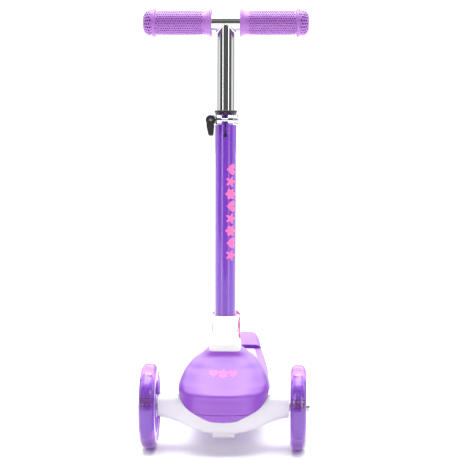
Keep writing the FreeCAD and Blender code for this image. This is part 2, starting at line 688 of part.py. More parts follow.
def deck_edge(inset):
    """Right-hand edge of the deck in plan, front to rear, moved inwards by the inset."""
    half, front = size("deck_width") / 2, size("deck_front")
    length = size("wheelbase") - front
    share = [(0, 1.0), (0.15, 1.0), (0.32, 0.975), (0.47, 0.93), (0.62, 0.865), (0.78, 0.785),
             (0.9, 0.72), (0.97, 0.675), (1.02, 0.63)]
    return [Vector(half * w - inset, front + length * s, 0) for s, w in share]


def deck_plan(inset, front, rear):
    """Plan outline between two stations, as a face on z = 0."""
    edge = deck_edge(inset)
    right = Part.Edge(spline(edge).Curve)
    left = right.mirror(Vector(), Vector(1, 0, 0))
    first, last = edge[0], edge[-1]
    mirror = lambda p: Vector(-p.x, p.y, 0)
    face = Part.Face(Part.Wire([right, Part.makeLine(last, mirror(last)), left,
                                Part.makeLine(mirror(first), first)]))
    window = Part.makePlane(400, rear - front, Vector(-200, front, 0))
    return face.common(window)


def deck_shell():
    """Ribbed tray, neck, tongue and pedestal under the nose, and the rear fork."""
    top, under = size("deck_top"), size("deck_top") - size("deck_depth")
    front, wall, base = size("deck_front"), size("deck_wall"), size("wheelbase")
    tail, gap = size("tail_width") / 2, size("fork_gap") / 2
    rear_z, pin_y, pin_z = size("rear_radius"), fender_pin_y(), size("fender_pin_z")
    step = pin_y - 9

    tail_end = base + 0.02 * (base - front)
    tray = deck_plan(0, front, tail_end).extrude(Vector(0, 0, size("deck_depth")))
    tray.translate(Vector(0, 0, under))
    tray = tray.makeFillet(10, [e for e in tray.Edges if e.BoundBox.ZLength > 5 and e.CenterOfMass.y > base])
    tray = tray.makeFillet(4, [e for e in tray.Edges if e.BoundBox.ZMin > top - 0.01
                               and e.CenterOfMass.y > front + 1])
    tray = tray.makeFillet(9, [e for e in tray.Edges if e.BoundBox.ZMax < under + 0.01
                               and e.CenterOfMass.y > front + 1])

    hollow = deck_plan(wall + 6, front, base).extrude(Vector(0, 0, top - wall))
    hollow = hollow.common(box(-200, 200, front + 22, step - 16, 0, top))
    ribs = [box(-1.5, 1.5, front, step, under + 2, top)]
    for y in range(int(front) + 58, int(step) - 30, 38):
        ribs.append(box(-200, 200, y - 1.5, y + 1.5, under + 2, top))
    tray = tray.cut(hollow.cut(ribs))

    neck = size("neck_width") / 2
    tongue, low, thick = size("tongue_width") / 2, size("tongue_bottom"), size("tongue_depth")
    pad, nose_wall = size("pad_height"), size("nose_wall")
    solids = [
        box(-neck, neck, front - 18, front + 20, under + 2, top),
        box(-neck, neck, front - 18, front + 6, under + 2, low + 1),
        box(-tongue, tongue, -36, front, low, low + thick),
        box(-17, 17, 22, front, low, pad - nose_wall),
    ]
    for side in (-1, 1):
        low_x, high_x = sorted((side * gap, side * tail))
        arm = straight([
            Vector(0, step - 6, under + 4), Vector(0, step - 6, top - 8), Vector(0, step + 4, top - 15),
            Vector(0, base + 12, top - 15), Vector(0, base + 12, rear_z - 9),
            Vector(0, base - 12, rear_z - 9), Vector(0, base - 26, under - 6)])
        plate = Part.Face(Part.Wire(arm)).extrude(Vector(high_x - low_x, 0, 0))
        plate.translate(Vector(low_x, 0, 0))
        plate = plate.makeFillet(6, [e for e in plate.Edges if e.BoundBox.XLength > 1
                                     and e.CenterOfMass.y > base + 11 and e.CenterOfMass.z < rear_z])
        ear_low, ear_high = sorted((side * 14, side * 19.6))
        solids += [
            plate,
            box(ear_low, ear_high, pin_y - 5.5, pin_y + 5.5, top - 20, pin_z),
            bar(5.5, (ear_low, pin_y, pin_z), (1, 0, 0), ear_high - ear_low),
        ]
    tray = tray.cut([box(-FAR, FAR, step + 3, tail_end + 1, top - 15, top + 1),
                     box(-gap, gap, step, tail_end + 1, under - 1, top)])
    shell = tray.fuse(solids)
    shell = shell.cut([
        cross_hole(size("axle_radius"), base, rear_z),
        cross_hole(size("fender_pin_radius"), pin_y, pin_z),
        bar(1.6, (0, step - 5, top - 12), (0, 0, 1), 20),
    ] + base_bolts() + pivot_screws())
    free("deck_shell", largest(shell.removeSplitter()))


def base_bolts():
    """Four bolts up through the tongue, pedestal and nose into the fold base's flange."""
    low, length = size("tongue_bottom"), size("pad_height") + 7 - size("tongue_bottom")
    bolts = []
    for x in (-10, 10):
        for y in (29, 54):
            shank = bar(SCREW_RADIUS, (x, y, low), (0, 0, 1), length)
            head = bar(4.2, (x, y, low - 3.5), (0, 0, 1), 3.5)
            bolts.append(shank.fuse(head).removeSplitter())
    return bolts


def grip_mat():
    """Rubber mat laid on the deck, with rounded corners."""
    front, rear = size("deck_front") + 40, fender_pin_y() - 21
    mat = deck_plan(size("mat_margin"), front, rear).extrude(Vector(0, 0, size("mat_thickness")))
    mat = mat.makeFillet(9, [e for e in mat.Edges if e.BoundBox.ZLength > 2 and e.BoundBox.YLength < 0.1])
    mat = mat.makeFillet(0.8, [e for e in mat.Edges if e.BoundBox.ZMin > size("mat_thickness") - 0.01])
    free("grip_mat", mat, AXLE_FRAME * Placement(Vector(0, 0, size("deck_top")), Rotation()))


# ---------------------------------------------------------------- folding head
def fold_base():
    """Cradle bolted on the nose: solid at the front and sides, open at the back for folding."""
    tilt = Placement(PIN, Rotation(Vector(1, 0, 0), -size("column_rake")))
    flange_low, flange = size("pad_height"), size("flange_height")
    half, reach = size("flange_width") / 2, 25.4
    pin_y = size("pin_behind")
    foot = flange_low - size("pin_height")
    waist, rim = size("tube_radius") + size("waist_wall"), size("tube_radius") + size("rim_wall")
    top = size("base_top")

    rings = [superellipse_ring(lambda x, y, z=z: Vector(x, y, z), half - inset, pin_y - reach + 2 + inset,
                               pin_y + reach - inset, 5)
             for z, inset in ((flange_low, 0), (flange_low + 2, 0), (flange_low + flange - 2.5, 0),
                              (flange_low + flange - 0.7, 0.8), (flange_low + flange, 2.6))]
    plate = Part.makeLoft(rings, True, False)
    profile = [(0, foot + flange - 3), (waist + 3.2, foot + flange - 3), (waist + 2, foot + flange + 1),
               (waist + 0.6, -6), (waist, 2), (waist, 10), (waist + 0.7, 15), (rim - 0.6, 20)]
    curve = Part.BSplineCurve()
    curve.interpolate([Vector(r, 0, z) for r, z in profile[1:]])
    outline = [curve.toShape(), Part.Arc(Vector(rim - 0.6, 0, 20), Vector(rim + 0.2, 0, 21.6),
                                         Vector(rim - 1, 0, top)).toShape()]
    outline.append(Part.makePolygon([Vector(rim - 1, 0, top), Vector(0, 0, top),
                                     Vector(0, 0, profile[0][1]), Vector(profile[1][0], 0, profile[1][1])]))
    edges = [e for piece in outline for e in piece.Edges]
    cup = Part.Face(Part.Wire(edges)).revolve(Vector(), Vector(0, 0, 1), 360)
    room = size("tube_radius") + size("base_gap")
    floor = -size("tube_radius") - 0.6
    hollow = [
        Part.makeCylinder(room, FAR, Vector(0, 0, floor)),
        box(-room, room, 0, FAR, floor, FAR),
        Part.makeCone(room, room + 2.6, 2.6, Vector(0, 0, top - 2.5)),
        cross_hole(size("axle_radius"), 0, 0),
    ]
    hollow.extend(bar(size("axle_radius") + 1.6, (side * (waist - 0.6), 0, 0), (side, 0, 0), 10)
                  for side in (-1, 1))
    cup.Placement = tilt
    for piece in hollow:
        piece.Placement = tilt * piece.Placement
    lever_y, lever_z = lever_hinge()
    knuckle = 3.4
    lug = box(-9, 9, lever_y - 9, lever_y, flange_low + 1, lever_z + knuckle)
    lug_end = bar(knuckle, (-9, lever_y, lever_z), (1, 0, 0), 18)
    panel = box(-half + 6, half - 6, 0, pin_y - reach + 3, flange_low + 2.6, flange_low + flange - 3.4)
    panel = panel.makeFillet(2.4, [e for e in panel.Edges if e.BoundBox.YLength > 2])
    base = plate.fuse([cup, lug, lug_end])
    base = base.cut(hollow + [cross_hole(LEVER_PIN_RADIUS, lever_y, lever_z), panel] + base_bolts())
    free("fold_base", largest(base.removeSplitter()))
    free("fold_base_bolts", Part.makeCompound(base_bolts()))


def fold_pin():
    """Steel pin with a domed head at each end, flush in the cradle's sides."""
    waist = "({tube_radius} + {waist_wall})"
    turned("fold_pin", "X", [
        (f"-{waist} - 1.1", 0), (f"-{waist} - 1.1", "{axle_radius}"),
        (f"-{waist} + 0.4", "{axle_radius} + 1.5"), (f"-{waist} + 0.6", "{axle_radius}"),
        (f"{waist} - 0.6", "{axle_radius}"), (f"{waist} - 0.4", "{axle_radius} + 1.5"),
        (f"{waist} + 1.1", "{axle_radius}"), (f"{waist} + 1.1", 0)], COLUMN_FRAME)


def lever_hinge():
    """Release lever's pin, behind the flange, in the axle frame."""
    return size("pin_behind") + 29.5, size("pad_height") + 6


def release_lever():
    """Plate behind the column with side flanges and two knuckles round its pin."""
    y, z = lever_hinge()
    half, plate, high = size("lever_width") / 2, size("lever_plate"), size("lever_height") - z
    back = box(-half, half, -plate + 1, 1, 0, high)
    back = back.makeFillet(9, [e for e in back.Edges if e.BoundBox.YLength > 2
                               and e.CenterOfMass.z > high - 1])
    back = back.cut(box(-9.4, 9.4, -10, 10, -5, 5.2))
    sides = []
    for side in (-1, 1):
        low, far = sorted((side * (half - 2), side * half))
        wing = box(low, far, -9, 0, 8, high - 14)
        front_edges = [e for e in wing.Edges if e.BoundBox.XLength > 1 and e.CenterOfMass.y < -8]
        wing = wing.makeFillet(6, front_edges)
        knuckle_low, knuckle_far = sorted((side * 9.4, side * (half - 3)))
        sides += [wing, bar(3.4, (knuckle_low, 0, 0), (1, 0, 0), knuckle_far - knuckle_low)]
    hook = box(-half + 6, half - 6, -4, 3.5, high - 4, high)
    hook = hook.makeFillet(1.6, [e for e in hook.Edges if e.BoundBox.XLength > 5])
    bore = cross_hole(LEVER_PIN_RADIUS + size("running_gap"), 0, 0)
    lever = back.fuse(sides + [hook]).cut(bore).removeSplitter()
    place = AXLE_FRAME * Placement(Vector(0, y, z), Rotation())
    free("release_lever", largest(lever), place)
    turned("release_pin", "X", [
        ("-{lever_width} / 2 + 2", 0), ("-{lever_width} / 2 + 2", LEVER_PIN_RADIUS),
        ("{lever_width} / 2 - 2", LEVER_PIN_RADIUS), ("{lever_width} / 2 - 2", 0)], place)


# ---------------------------------------------------------------- column
def fold_knuckle():
    """Insert in the tube's foot, with a ball end round the fold pin."""
    radius, bore = size("tube_radius"), size("tube_radius") - size("tube_wall")
    start = size("tube_start")
    foot = Part.makeSphere(radius).common(Part.makeCylinder(radius, radius, Vector(0, 0, -radius)))
    foot = foot.fuse(Part.makeCylinder(radius, start))
    plug = Part.makeCylinder(bore, size("knuckle_top") - start, Vector(0, 0, start))
    knuckle = foot.fuse(plug).cut([cross_hole(size("axle_radius") + size("running_gap"), 0, 0)]
                                  + knuckle_screws())
    free("fold_knuckle", knuckle.removeSplitter(), COLUMN_FRAME)
    free("knuckle_screws", Part.makeCompound(knuckle_screws()), COLUMN_FRAME)


def knuckle_screws():
    """Two button-head screws through the back of the tube."""
    radius = size("tube_radius")
    screws = []
    for z in SCREW_HEIGHTS:
        shank = bar(SCREW_RADIUS, (0, 3, z), (0, 1, 0), radius - 3)
        head = Part.makeCone(4.5, 3, 1.6, Vector(0, radius, z), Vector(0, 1, 0))
        screws.append(shank.fuse(head).removeSplitter())
    return screws


def steering_tube():
    """Painted tube with a keyhole slit at the front of its top."""
    tube = turned("steering_tube", "Z", [
        ("{tube_start}", "{tube_radius} - {tube_wall}"), ("{tube_start}", "{tube_radius}"),
        ("{tube_end}", "{tube_radius}"), ("{tube_end}", "{tube_radius} - {tube_wall}")], COLUMN_FRAME)
    sketch = sketch_outline(tube, "XZ_Plane", "slit_sketch", [
        ("-{slot_width} / 2", "{tube_end} - {slot_depth}"),
        ("{slot_width} / 2", "{tube_end} - {slot_depth}"),
        ("{slot_width} / 2", "{tube_end} + 1"), ("-{slot_width} / 2", "{tube_end} + 1")])
    slit = tube.newObject("PartDesign::Pocket", "slit")
    slit.Profile = sketch
    bind(slit, "Length", "{tube_radius} + 1")
    slit.Reversed = True
    tube.Tip = slit
    doc.recompute()
    hole = tube.newObject("Sketcher::SketchObject", "slit_hole_sketch")
    hole.AttachmentSupport = [(origin_plane(tube, "XZ_Plane"), "")]
    hole.MapMode = "FlatFace"
    hole.addGeometry(Part.Circle(Vector(0, 200, 0), Vector(0, 0, 1), 2))
    hole.addConstraint(Sketcher.Constraint("PointOnObject", 0, 3, -2))
    radius = hole.addConstraint(Sketcher.Constraint("Radius", 0, 2))
    height = hole.addConstraint(Sketcher.Constraint("DistanceY", -1, 1, 0, 3, 200))
    for index, label, text in ((radius, "hole_radius", "{slot_hole_radius}"),
                               (height, "hole_height", "{tube_end} - {slot_depth}")):
        hole.renameConstraint(index, label)
        hole.setExpression(f"Constraints.{label}", sheet_expression(text))
    drill = tube.newObject("PartDesign::Pocket", "slit_hole")
    drill.Profile = hole
    bind(drill, "Length", "{tube_radius} + 1")
    drill.Reversed = True
    tube.Tip = drill
    for z in SCREW_HEIGHTS:
        seat = tube.newObject("Sketcher::SketchObject", f"screw_seat_{z}")
        seat.AttachmentSupport = [(origin_plane(tube, "XZ_Plane"), "")]
        seat.MapMode = "FlatFace"
        seat.addGeometry(Part.Circle(Vector(0, z, 0), Vector(0, 0, 1), SCREW_RADIUS))
        seat.addConstraint(Sketcher.Constraint("PointOnObject", 0, 3, -2))
        seat.addConstraint(Sketcher.Constraint("Radius", 0, SCREW_RADIUS))
        seat.addConstraint(Sketcher.Constraint("DistanceY", -1, 1, 0, 3, z))
        bore = tube.newObject("PartDesign::Pocket", f"screw_hole_{z}")
        bore.Profile = seat
        bind(bore, "Length", "{tube_radius} + 1")
        tube.Tip = bore
    doc.recompute()
    local = tube.Shape.copy()
    local.Placement = Placement()
    wall = size("tube_radius") - size("tube_wall") / 2
    for name, y, z in (("slit", -wall, size("tube_end") - 5), ("screw hole", wall, SCREW_HEIGHTS[0])):
        if local.isInside(Vector(0, y, z), 0.01, True):
            raise RuntimeError(f"the {name} missed the tube's wall")


def tube_bushing():
    """Black sleeve in the tube's top that guides the stem, with a flange over the tube's edge."""
    bore = "{stem_radius} + {running_gap}"
    seat = "{tube_radius} - {tube_wall}"
    lip = "{tube_radius} + {bushing_lip}"
    turned("tube_bushing", "Z", [
        ("{tube_end} - 42", bore), ("{tube_end} - 42", seat), ("{tube_end}", seat),
        ("{tube_end}", lip + " - 1.2"), ("{tube_end} + 2", lip + " - 0.5"), ("{tube_end} + 3", lip),
        ("{tube_end} + {bushing_flange_height} - 0.7", lip),
        ("{tube_end} + {bushing_flange_height}", lip + " - 0.7"),
        ("{tube_end} + {bushing_flange_height}", bore)], COLUMN_FRAME)


def clamp():
    """Split collar with two ears, skewer, nut, cam washer and the quick-release lever."""
    tube, wall, high = size("tube_radius"), size("clamp_wall"), size("clamp_height")
    middle, ahead = size("clamp_middle"), tube + size("skewer_ahead")
    gap, ear, shank = size("clamp_gap") / 2, size("ear_thickness"), size("skewer_radius")
    low = middle - high / 2

    collar = Part.makeCylinder(tube + wall, high, Vector(0, 0, low))
    collar = collar.makeFillet(1, [e for e in collar.Edges if e.Curve.TypeId == "Part::GeomCircle"])
    ears = []
    for side in (-1, 1):
        low_x, high_x = sorted((side * gap, side * (gap + ear)))
        ears += [box(low_x, high_x, -ahead, -tube + 4, low, low + high),
                 bar(high / 2, (low_x, -ahead, middle), (1, 0, 0), high_x - low_x)]
    collar = collar.fuse(ears).cut([
        Part.makeCylinder(tube, high + 2, Vector(0, 0, low - 1)),
        box(-gap, gap, -FAR, 0, low - 1, low + high + 1),
        cross_hole(shank, -ahead, middle),
    ])
    free("clamp_collar", largest(collar.removeSplitter()), COLUMN_FRAME)

    face = gap + ear
    cam = size("cam_radius")
    pin_x = -(face + 2.2 + cam)
    rod_solid = bar(shank, (pin_x, -ahead, middle), (1, 0, 0), face + 5 - pin_x)
    eye = bar(4.2, (pin_x, -ahead - 2.6, middle), (0, 1, 0), 5.2)
    skewer = rod_solid.fuse(eye).cut(
        bar(CAM_PIN_RADIUS + size("running_gap"), (pin_x, -ahead - cam, middle), (0, 1, 0), 2 * cam))
    free("clamp_skewer", skewer.removeSplitter(), COLUMN_FRAME)
    place = COLUMN_FRAME * Placement(Vector(face, -ahead, middle), Rotation())
    turned("clamp_nut", "X", [(0, "{skewer_radius}"), (0, 6.2), (1, 6.6), (2, 5.4), (6, 5), (7, 4.2),
                              (7, 0), (5, 0), (5, "{skewer_radius}")], place)
    place = COLUMN_FRAME * Placement(Vector(-face, -ahead, middle), Rotation())
    turned("cam_washer", "X", [(-2, "{skewer_radius}"), (-2, 6.4), (0, 6.9), (0, "{skewer_radius}")], place)

    arm = size("lever_arm")
    front = -CAM_WIDTH / 2
    drum = bar(cam, (0, front, 0), (0, 1, 0), CAM_WIDTH)
    blade_edges = straight([Vector(x, front, z) for x, z in (
        (-5.6, 0), (4.4, -4), (4.6, -9), (3.4, -arm), (-2.6, -arm), (-5.6, -9))])
    blade = Part.Face(Part.Wire(blade_edges)).extrude(Vector(0, CAM_WIDTH, 0))
    blade = blade.makeFillet(2, [e for e in blade.Edges if e.CenterOfMass.z < -arm + 0.01])
    lever = drum.fuse(blade).cut([
        bar(4.7, (0, -2.9, 0), (0, 1, 0), 5.8), box(-20, 20, -2.9, 2.9, -4.6, 20),
        bar(CAM_PIN_RADIUS, (0, -cam, 0), (0, 1, 0), 2 * cam)])
    place = COLUMN_FRAME * Placement(Vector(pin_x, -ahead, middle), Rotation())
    free("clamp_lever", largest(lever.removeSplitter()), place)
    pin = rod("CamPinRod", CAM_PIN_RADIUS, CAM_WIDTH, (0, -CAM_WIDTH / 2, 0), "Y")
    keep(grouped("CamPin", [pin]), "cam_pin", place)


# ---------------------------------------------------------------- T-bar
def t_bar():
    """Chromed stem and crossbar, welded into a T with a small flare under the joint."""
    radius, wall = size("stem_radius"), size("stem_wall")
    start, high, half = size("stem_start"), size("bar_height"), size("bar_half")
    stem = Part.makeCylinder(radius, high - start, Vector(0, 0, start))
    cross = bar(radius, (-half, 0, high), (1, 0, 0), 2 * half)
    weld = Part.makeCone(radius, radius + 2.4, 7, Vector(0, 0, high - radius - 6))
    weld = weld.common(Part.makeCylinder(radius + 1.9, 30, Vector(0, 0, high - radius - 10)))
    inside = [Part.makeCylinder(radius - wall, high - start, Vector(0, 0, start)),
              bar(radius - wall, (-half, 0, high), (1, 0, 0), 2 * half)]
    free("t_bar", stem.fuse([cross, weld]).cut(inside).removeSplitter(), COLUMN_FRAME)
    bore = "{stem_radius} - {stem_wall}"
    turned("stem_plug", "Z", [
        ("{stem_start} - 2", 0), ("{stem_start} - 2", "{stem_radius} - 0.6"),
        ("{stem_start}", "{stem_radius} - 0.2"), ("{stem_start}", bore), ("{stem_start} + 16", bore),
        ("{stem_start} + 16", 0)], COLUMN_FRAME)


def grip(side, sign):
    """Soft grip: thin inner flange flaring into the body, an outer ring and a domed end cap."""
    turn = Rotation() if sign > 0 else Rotation(Vector(0, 0, 1), 180)
    place = COLUMN_FRAME * Placement(Vector(sign * size("grip_start"), 0, size("bar_height")), turn)
    end, cap = "{grip_length}", "{grip_length} - {grip_cap}"
    body, flange = "{grip_radius}", "{grip_flange_radius}"
    seat = "{bar_half} - {grip_start}"
    turned(f"grip_{side}", "X", [
        (0, "{stem_radius}"), (0, flange + " - 0.8"), (0.9, flange), (2.4, flange),
        (3.4, flange + " - 1.4"), (6, body + " + 0.6"), (11, body), ("{grip_length} / 2", body + " + 0.4"),
        (cap + " - 3", body), (cap, body + " + 0.2"), (cap + " + 0.8", flange), (cap + " + 4.2", flange),
        (cap + " + 5", body + " + 1"), (cap + " + 11", body + " + 0.6"), (end + " - 3", body + " - 1.4"),
        (end + " - 0.9", body + " - 4.6"), (end, body + " - 8"), (end, 0), (seat, 0),
        (seat, "{stem_radius}")], place)


# ---------------------------------------------------------------- brake
def fender_curve(offset):
    """Side view of the fender's top, front to rear, lowered by an offset."""
    axle, top = size("wheelbase"), size("rear_radius") * 2 + size("fender_height")
    reach = size("fender_overhang")
    points = [(-43, -10.5), (-24, -5.5), (0, -0.8), (0.3 * reach, 0), (0.58 * reach, -6),
              (0.84 * reach, -21), (reach, -43)]
    inward = [(0.3, -1), (0.3, -1), (0.15, -1), (0, -1), (-0.4, -0.9), (-0.8, -0.6), (-0.97, -0.22)]
    return [Vector(0, axle + y + n * offset, top + z + m * offset)
            for (y, z), (n, m) in zip(points, inward)]


def fender_plan(inset):
    """The tail's outline in plan, carried on round the back of the wheel, as a tall prism."""
    half, length = size("deck_width") / 2, size("wheelbase") - size("deck_front")
    right = deck_edge(inset)[5:8] + [
        Vector(half * w - inset, size("deck_front") + length * s - inset / 3, 0)
        for s, w in ((1.03, 0.62), (1.09, 0.53), (1.14, 0.41), (1.17, 0.3))]
    edge = Part.Edge(spline(right).Curve)
    mirrored = edge.mirror(Vector(), Vector(1, 0, 0))
    first, last = right[0], right[-1]
    mirror = lambda p: Vector(-p.x, p.y, 0)
    face = Part.Face(Part.Wire([edge, Part.makeLine(last, mirror(last)), mirrored,
                                Part.makeLine(mirror(first), first)]))
    return face.extrude(Vector(0, 0, size("rear_radius") * 3))


def fender_room(skin, inset):
    """The space under the fender's top, below a skin and inside an inset from the deck's edge."""
    inner = fender_curve(skin)
    drop = [inner[-1], Vector(0, inner[-1].y, 20), Vector(0, inner[0].y - 9, 20),
            Vector(0, inner[0].y - 9, inner[0].z - 2), inner[0]]
    return along_x([spline(inner)] + Part.makePolygon(drop).Edges, FAR).common(fender_plan(inset))


def fender():
    """Sprung brake fender hinged at its front, with a pad over the wheel."""
    skin, side, inset = size("fender_skin"), size("fender_side"), size("fender_inset")
    pin_y, pin_z, pin = fender_pin_y(), size("fender_pin_z"), size("fender_pin_radius")
    outer = fender_curve(0)
    first, last = outer[0], outer[-1]
    hem = [last, Vector(0, last.y - 7, last.z - 0.5), Vector(0, last.y - 32, pin_z - 1),
           Vector(0, pin_y + 8, pin_z - 5),
           Vector(0, first.y + 1, pin_z - 3), first]
    body = along_x([spline(outer)] + Part.makePolygon(hem).Edges, FAR).common(fender_plan(inset))
    body = body.makeFillet(10, [e for e in body.Edges if e.CenterOfMass.z > size("deck_top") + 3
                                and abs(e.CenterOfMass.x) > 5])
    room = fender_room(skin, inset + side + 5).fuse(fender_room(skin + 5, inset + side))
    lip = pin_z + 6.3
    room = room.cut(box(-FAR, FAR, first.y - 20, first.y + 2.5, lip, 2 * lip))
    body = body.cut([room, box(-10, 10, first.y - 5, first.y + 4, lip - 1, size("deck_top") + 3.9)])
    ears = []
    for sign in (-1, 1):
        low, high = sorted((sign * 20, sign * FAR))
        ears.append(bar(5.5, (low, pin_y, pin_z), (1, 0, 0), high - low).common(fender_plan(inset + 1)))
    body = body.fuse(ears).cut(cross_hole(pin + size("running_gap"), pin_y, pin_z))
    free("brake_fender", largest(body.removeSplitter()))

    axle = size("wheelbase")
    wheel = size("rear_radius")
    sector = along_x(straight([Vector(0, axle - 16, wheel + 30), Vector(0, axle + 18, wheel + 30),
                               Vector(0, axle + 18, wheel * 3), Vector(0, axle - 16, wheel * 3)]), 9)
    pad = sector.common(fender_room(skin, 0)).common(box(-9, 9, 0, 2 * axle, 0, wheel * 3))
    pad = pad.cut(cross_hole(wheel + 2, axle, wheel))
    free("brake_pad", largest(pad))
    turned("fender_pin", "X", [
        ("-{deck_width} / 3", 0), ("-{deck_width} / 3", "{fender_pin_radius}"),
        ("{deck_width} / 3", "{fender_pin_radius}"), ("{deck_width} / 3", 0)],
        AXLE_FRAME * Placement(Vector(0, pin_y, pin_z), Rotation()))

    top, step = size("deck_top"), pin_y - 9
    leaf = along_x(straight([Vector(0, step - 9, top), Vector(0, step, top), Vector(0, step + 22, top + 3),
                             Vector(0, step + 22, top + 3.8), Vector(0, step, top + 0.8),
                             Vector(0, step - 9, top + 0.8)]), 8)
    free("brake_leaf_spring", leaf.cut(bar(1.6, (0, step - 5, top - 12), (0, 0, 1), 20)))
    screw = bar(1.6, (0, step - 5, top - 8), (0, 0, 1), 8.8).fuse(
        Part.makeCone(2.8, 2, 0.7, Vector(0, step - 5, top + 0.8)))
    free("leaf_screw", screw.removeSplitter())


# ---------------------------------------------------------------- build and write
for wheel_side, wheel_sign in SIDES:
    front_wheel(wheel_side, wheel_sign)
    axle_set(wheel_side, wheel_sign)
    grip(wheel_side, wheel_sign)
rear_wheel()
front_beam()
steer_stack()
pivot_block()
nose()
deck_shell()
grip_mat()
fold_base()
fold_pin()
release_lever()
fold_knuckle()
steering_tube()
tube_bushing()
clamp()
t_bar()
fender()
doc.recompute()

for item in doc.Objects:
    if {"Invalid", "Error"} & set(item.State):
        raise RuntimeError(f"{item.Label} failed: {item.State}")
os.makedirs("parts", exist_ok=True)
for item in PARTS:
    if item.Shape.isNull() or not item.Shape.isValid() or not item.Shape.Solids:
        raise RuntimeError(f"{item.Label} has no valid solid")
    item.Shape.exportStep(f"parts/{item.Label}.step")
print(f"wrote {len(PARTS)} sub-parts")
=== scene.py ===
"""Finished looks for a child's three-wheel kick scooter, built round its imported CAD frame.

Lengths are in metres. The row frame has +Z up, -Y forwards and +X to the right as seen from the
front. The column frame stands on the fold pin with +Z up the steering tube.
"""
import json
import math

import bmesh
import bpy
from bpy.props import FloatProperty, FloatVectorProperty, IntProperty, PointerProperty
from mathutils import Matrix, Vector
from mathutils.bvhtree import BVHTree


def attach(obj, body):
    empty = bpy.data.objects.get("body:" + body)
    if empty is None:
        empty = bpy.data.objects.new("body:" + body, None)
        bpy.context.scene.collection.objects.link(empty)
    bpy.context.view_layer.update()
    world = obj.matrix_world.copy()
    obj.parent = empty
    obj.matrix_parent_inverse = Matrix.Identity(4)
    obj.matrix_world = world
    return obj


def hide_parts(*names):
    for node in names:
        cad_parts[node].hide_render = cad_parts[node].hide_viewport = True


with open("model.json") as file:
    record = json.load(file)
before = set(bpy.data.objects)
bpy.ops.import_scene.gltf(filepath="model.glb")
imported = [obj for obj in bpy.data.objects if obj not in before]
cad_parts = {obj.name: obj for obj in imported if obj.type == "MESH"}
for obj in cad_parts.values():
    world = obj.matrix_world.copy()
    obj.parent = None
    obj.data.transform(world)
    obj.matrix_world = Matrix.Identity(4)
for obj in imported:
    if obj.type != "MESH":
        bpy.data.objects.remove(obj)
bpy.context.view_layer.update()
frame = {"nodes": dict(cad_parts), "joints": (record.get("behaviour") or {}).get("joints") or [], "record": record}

bl_info = {
    "name": "Kick Scooter Looks",
    "version": (1, 0, 0),
    "blender": (4, 5, 0),
    "location": "View3D > Sidebar > Scooter",
    "description": "Dresses the kick scooter's CAD frame in its finished surfaces and details",
    "category": "Add Mesh",
}

MM = 0.001
JOINTS = {joint["name"]: joint for joint in frame["joints"]}
SIDES = (("left", -1), ("right", 1))
UPRIGHT = Matrix.Identity(4)
BAR_RADIUS = 12 * MM
SUNK = 0.02 * MM  # a print's edge, below the surface it follows
SHARED = {}  # the finishes, made once


def column_frame():
    """The folding column's own frame: origin on the fold pin, +Z up the tube, +X across."""
    up = Vector(JOINTS["bar_height"]["axis"]).normalized()
    across = Vector((1, 0, 0))
    turn = Matrix((across, up.cross(across), up)).transposed()
    return Matrix.Translation(JOINTS["fold"]["pos_m"]) @ turn.to_4x4()


COLUMN = column_frame()


def box_in(place, node):
    """Lowest and highest corner of a CAD node, in another frame."""
    inverse = place.inverted()
    points = [inverse @ vertex.co for vertex in frame["nodes"][node].data.vertices]
    return [Vector(pick(p[i] for p in points) for i in range(3)) for pick in (min, max)]


# ---------------------------------------------------------------- colours and sizes
def linear(code):
    """A hex sRGB colour as linear red, green, blue and alpha."""
    channels = [(code >> shift & 255) / 255 for shift in (16, 8, 0)]
    return tuple(c / 12.92 if c <= 0.04045 else ((c + 0.055) / 1.055) ** 2.4 for c in channels) + (1,)


def colour(name, code, description):
    """A colour property from a hex sRGB code."""
    return FloatVectorProperty(name=name, description=description, default=linear(code),
                               subtype="COLOR", size=4, min=0, max=1)


def length(name, millimetres, description):
    """A length property with its default in millimetres."""
    return FloatProperty(name=name, description=description, default=millimetres * MM, min=0,
                         subtype="DISTANCE", unit="LENGTH", precision=4)


class ScooterColours(bpy.types.PropertyGroup):
    """Colours of the scooter's finishes."""
    shell: colour("Shell", 0x8234B4, "Moulded nose, deck and fender")
    tube: colour("Tube", 0x6D2EB0, "Powder coat of the steering tube")
    grips: colour("Grips", 0x9654B1, "Soft grips")
    tyres: colour("Tyres", 0xBE78EA, "Cast polyurethane tyres")
    cores: colour("Cores", 0xA460E0, "Moulded wheel cores")
    white: colour("White", 0xECECEB, "Moulded beam and fold base")
    mat: colour("Mat", 0xB6A8C2, "Deck's grip mat")
    pink: colour("Pink", 0xFF8CC4, "Release lever")
    print_pink: colour("Print", 0xFF6DB0, "Printed shapes on nose and tube")
    floor: colour("Floor", 0xFFFFFF, "Studio floor")


class ScooterSizes(bpy.types.PropertyGroup):
    """Sizes of the details that are added to the frame."""
    dimple_pitch: length("Dimple Pitch", 3.1, "Grip dimples, centre to centre along the bar")
    dimple_width: length("Dimple Width", 2.3, "Grip dimple across")
    dimple_depth: length("Dimple Depth", 1.2, "Grip dimple depth")
    dimple_rows: IntProperty(name="Dimple Rows", description="Rows of dimples round a grip",
                             default=30, min=8)
    vent_pitch: length("Vent Pitch", 5.1, "Holes in a grip's end cap, up and down")
    vent_width: length("Vent Width", 2.8, "Hole in a grip's end cap")
    vent_depth: length("Vent Depth", 3.0, "Hole in a grip's end cap")
    stud_pitch: length("Stud Pitch", 6.0, "Mat studs, centre to centre")
    stud_width: length("Stud Width", 3.4, "Mat stud across")
    stud_height: length("Stud Height", 0.5, "Mat stud above the mat")
    print_thickness: length("Print Thickness", 0.06, "Printed film")
    print_gap: length("Print Gap", 0.05, "Printed film above the surface it follows")


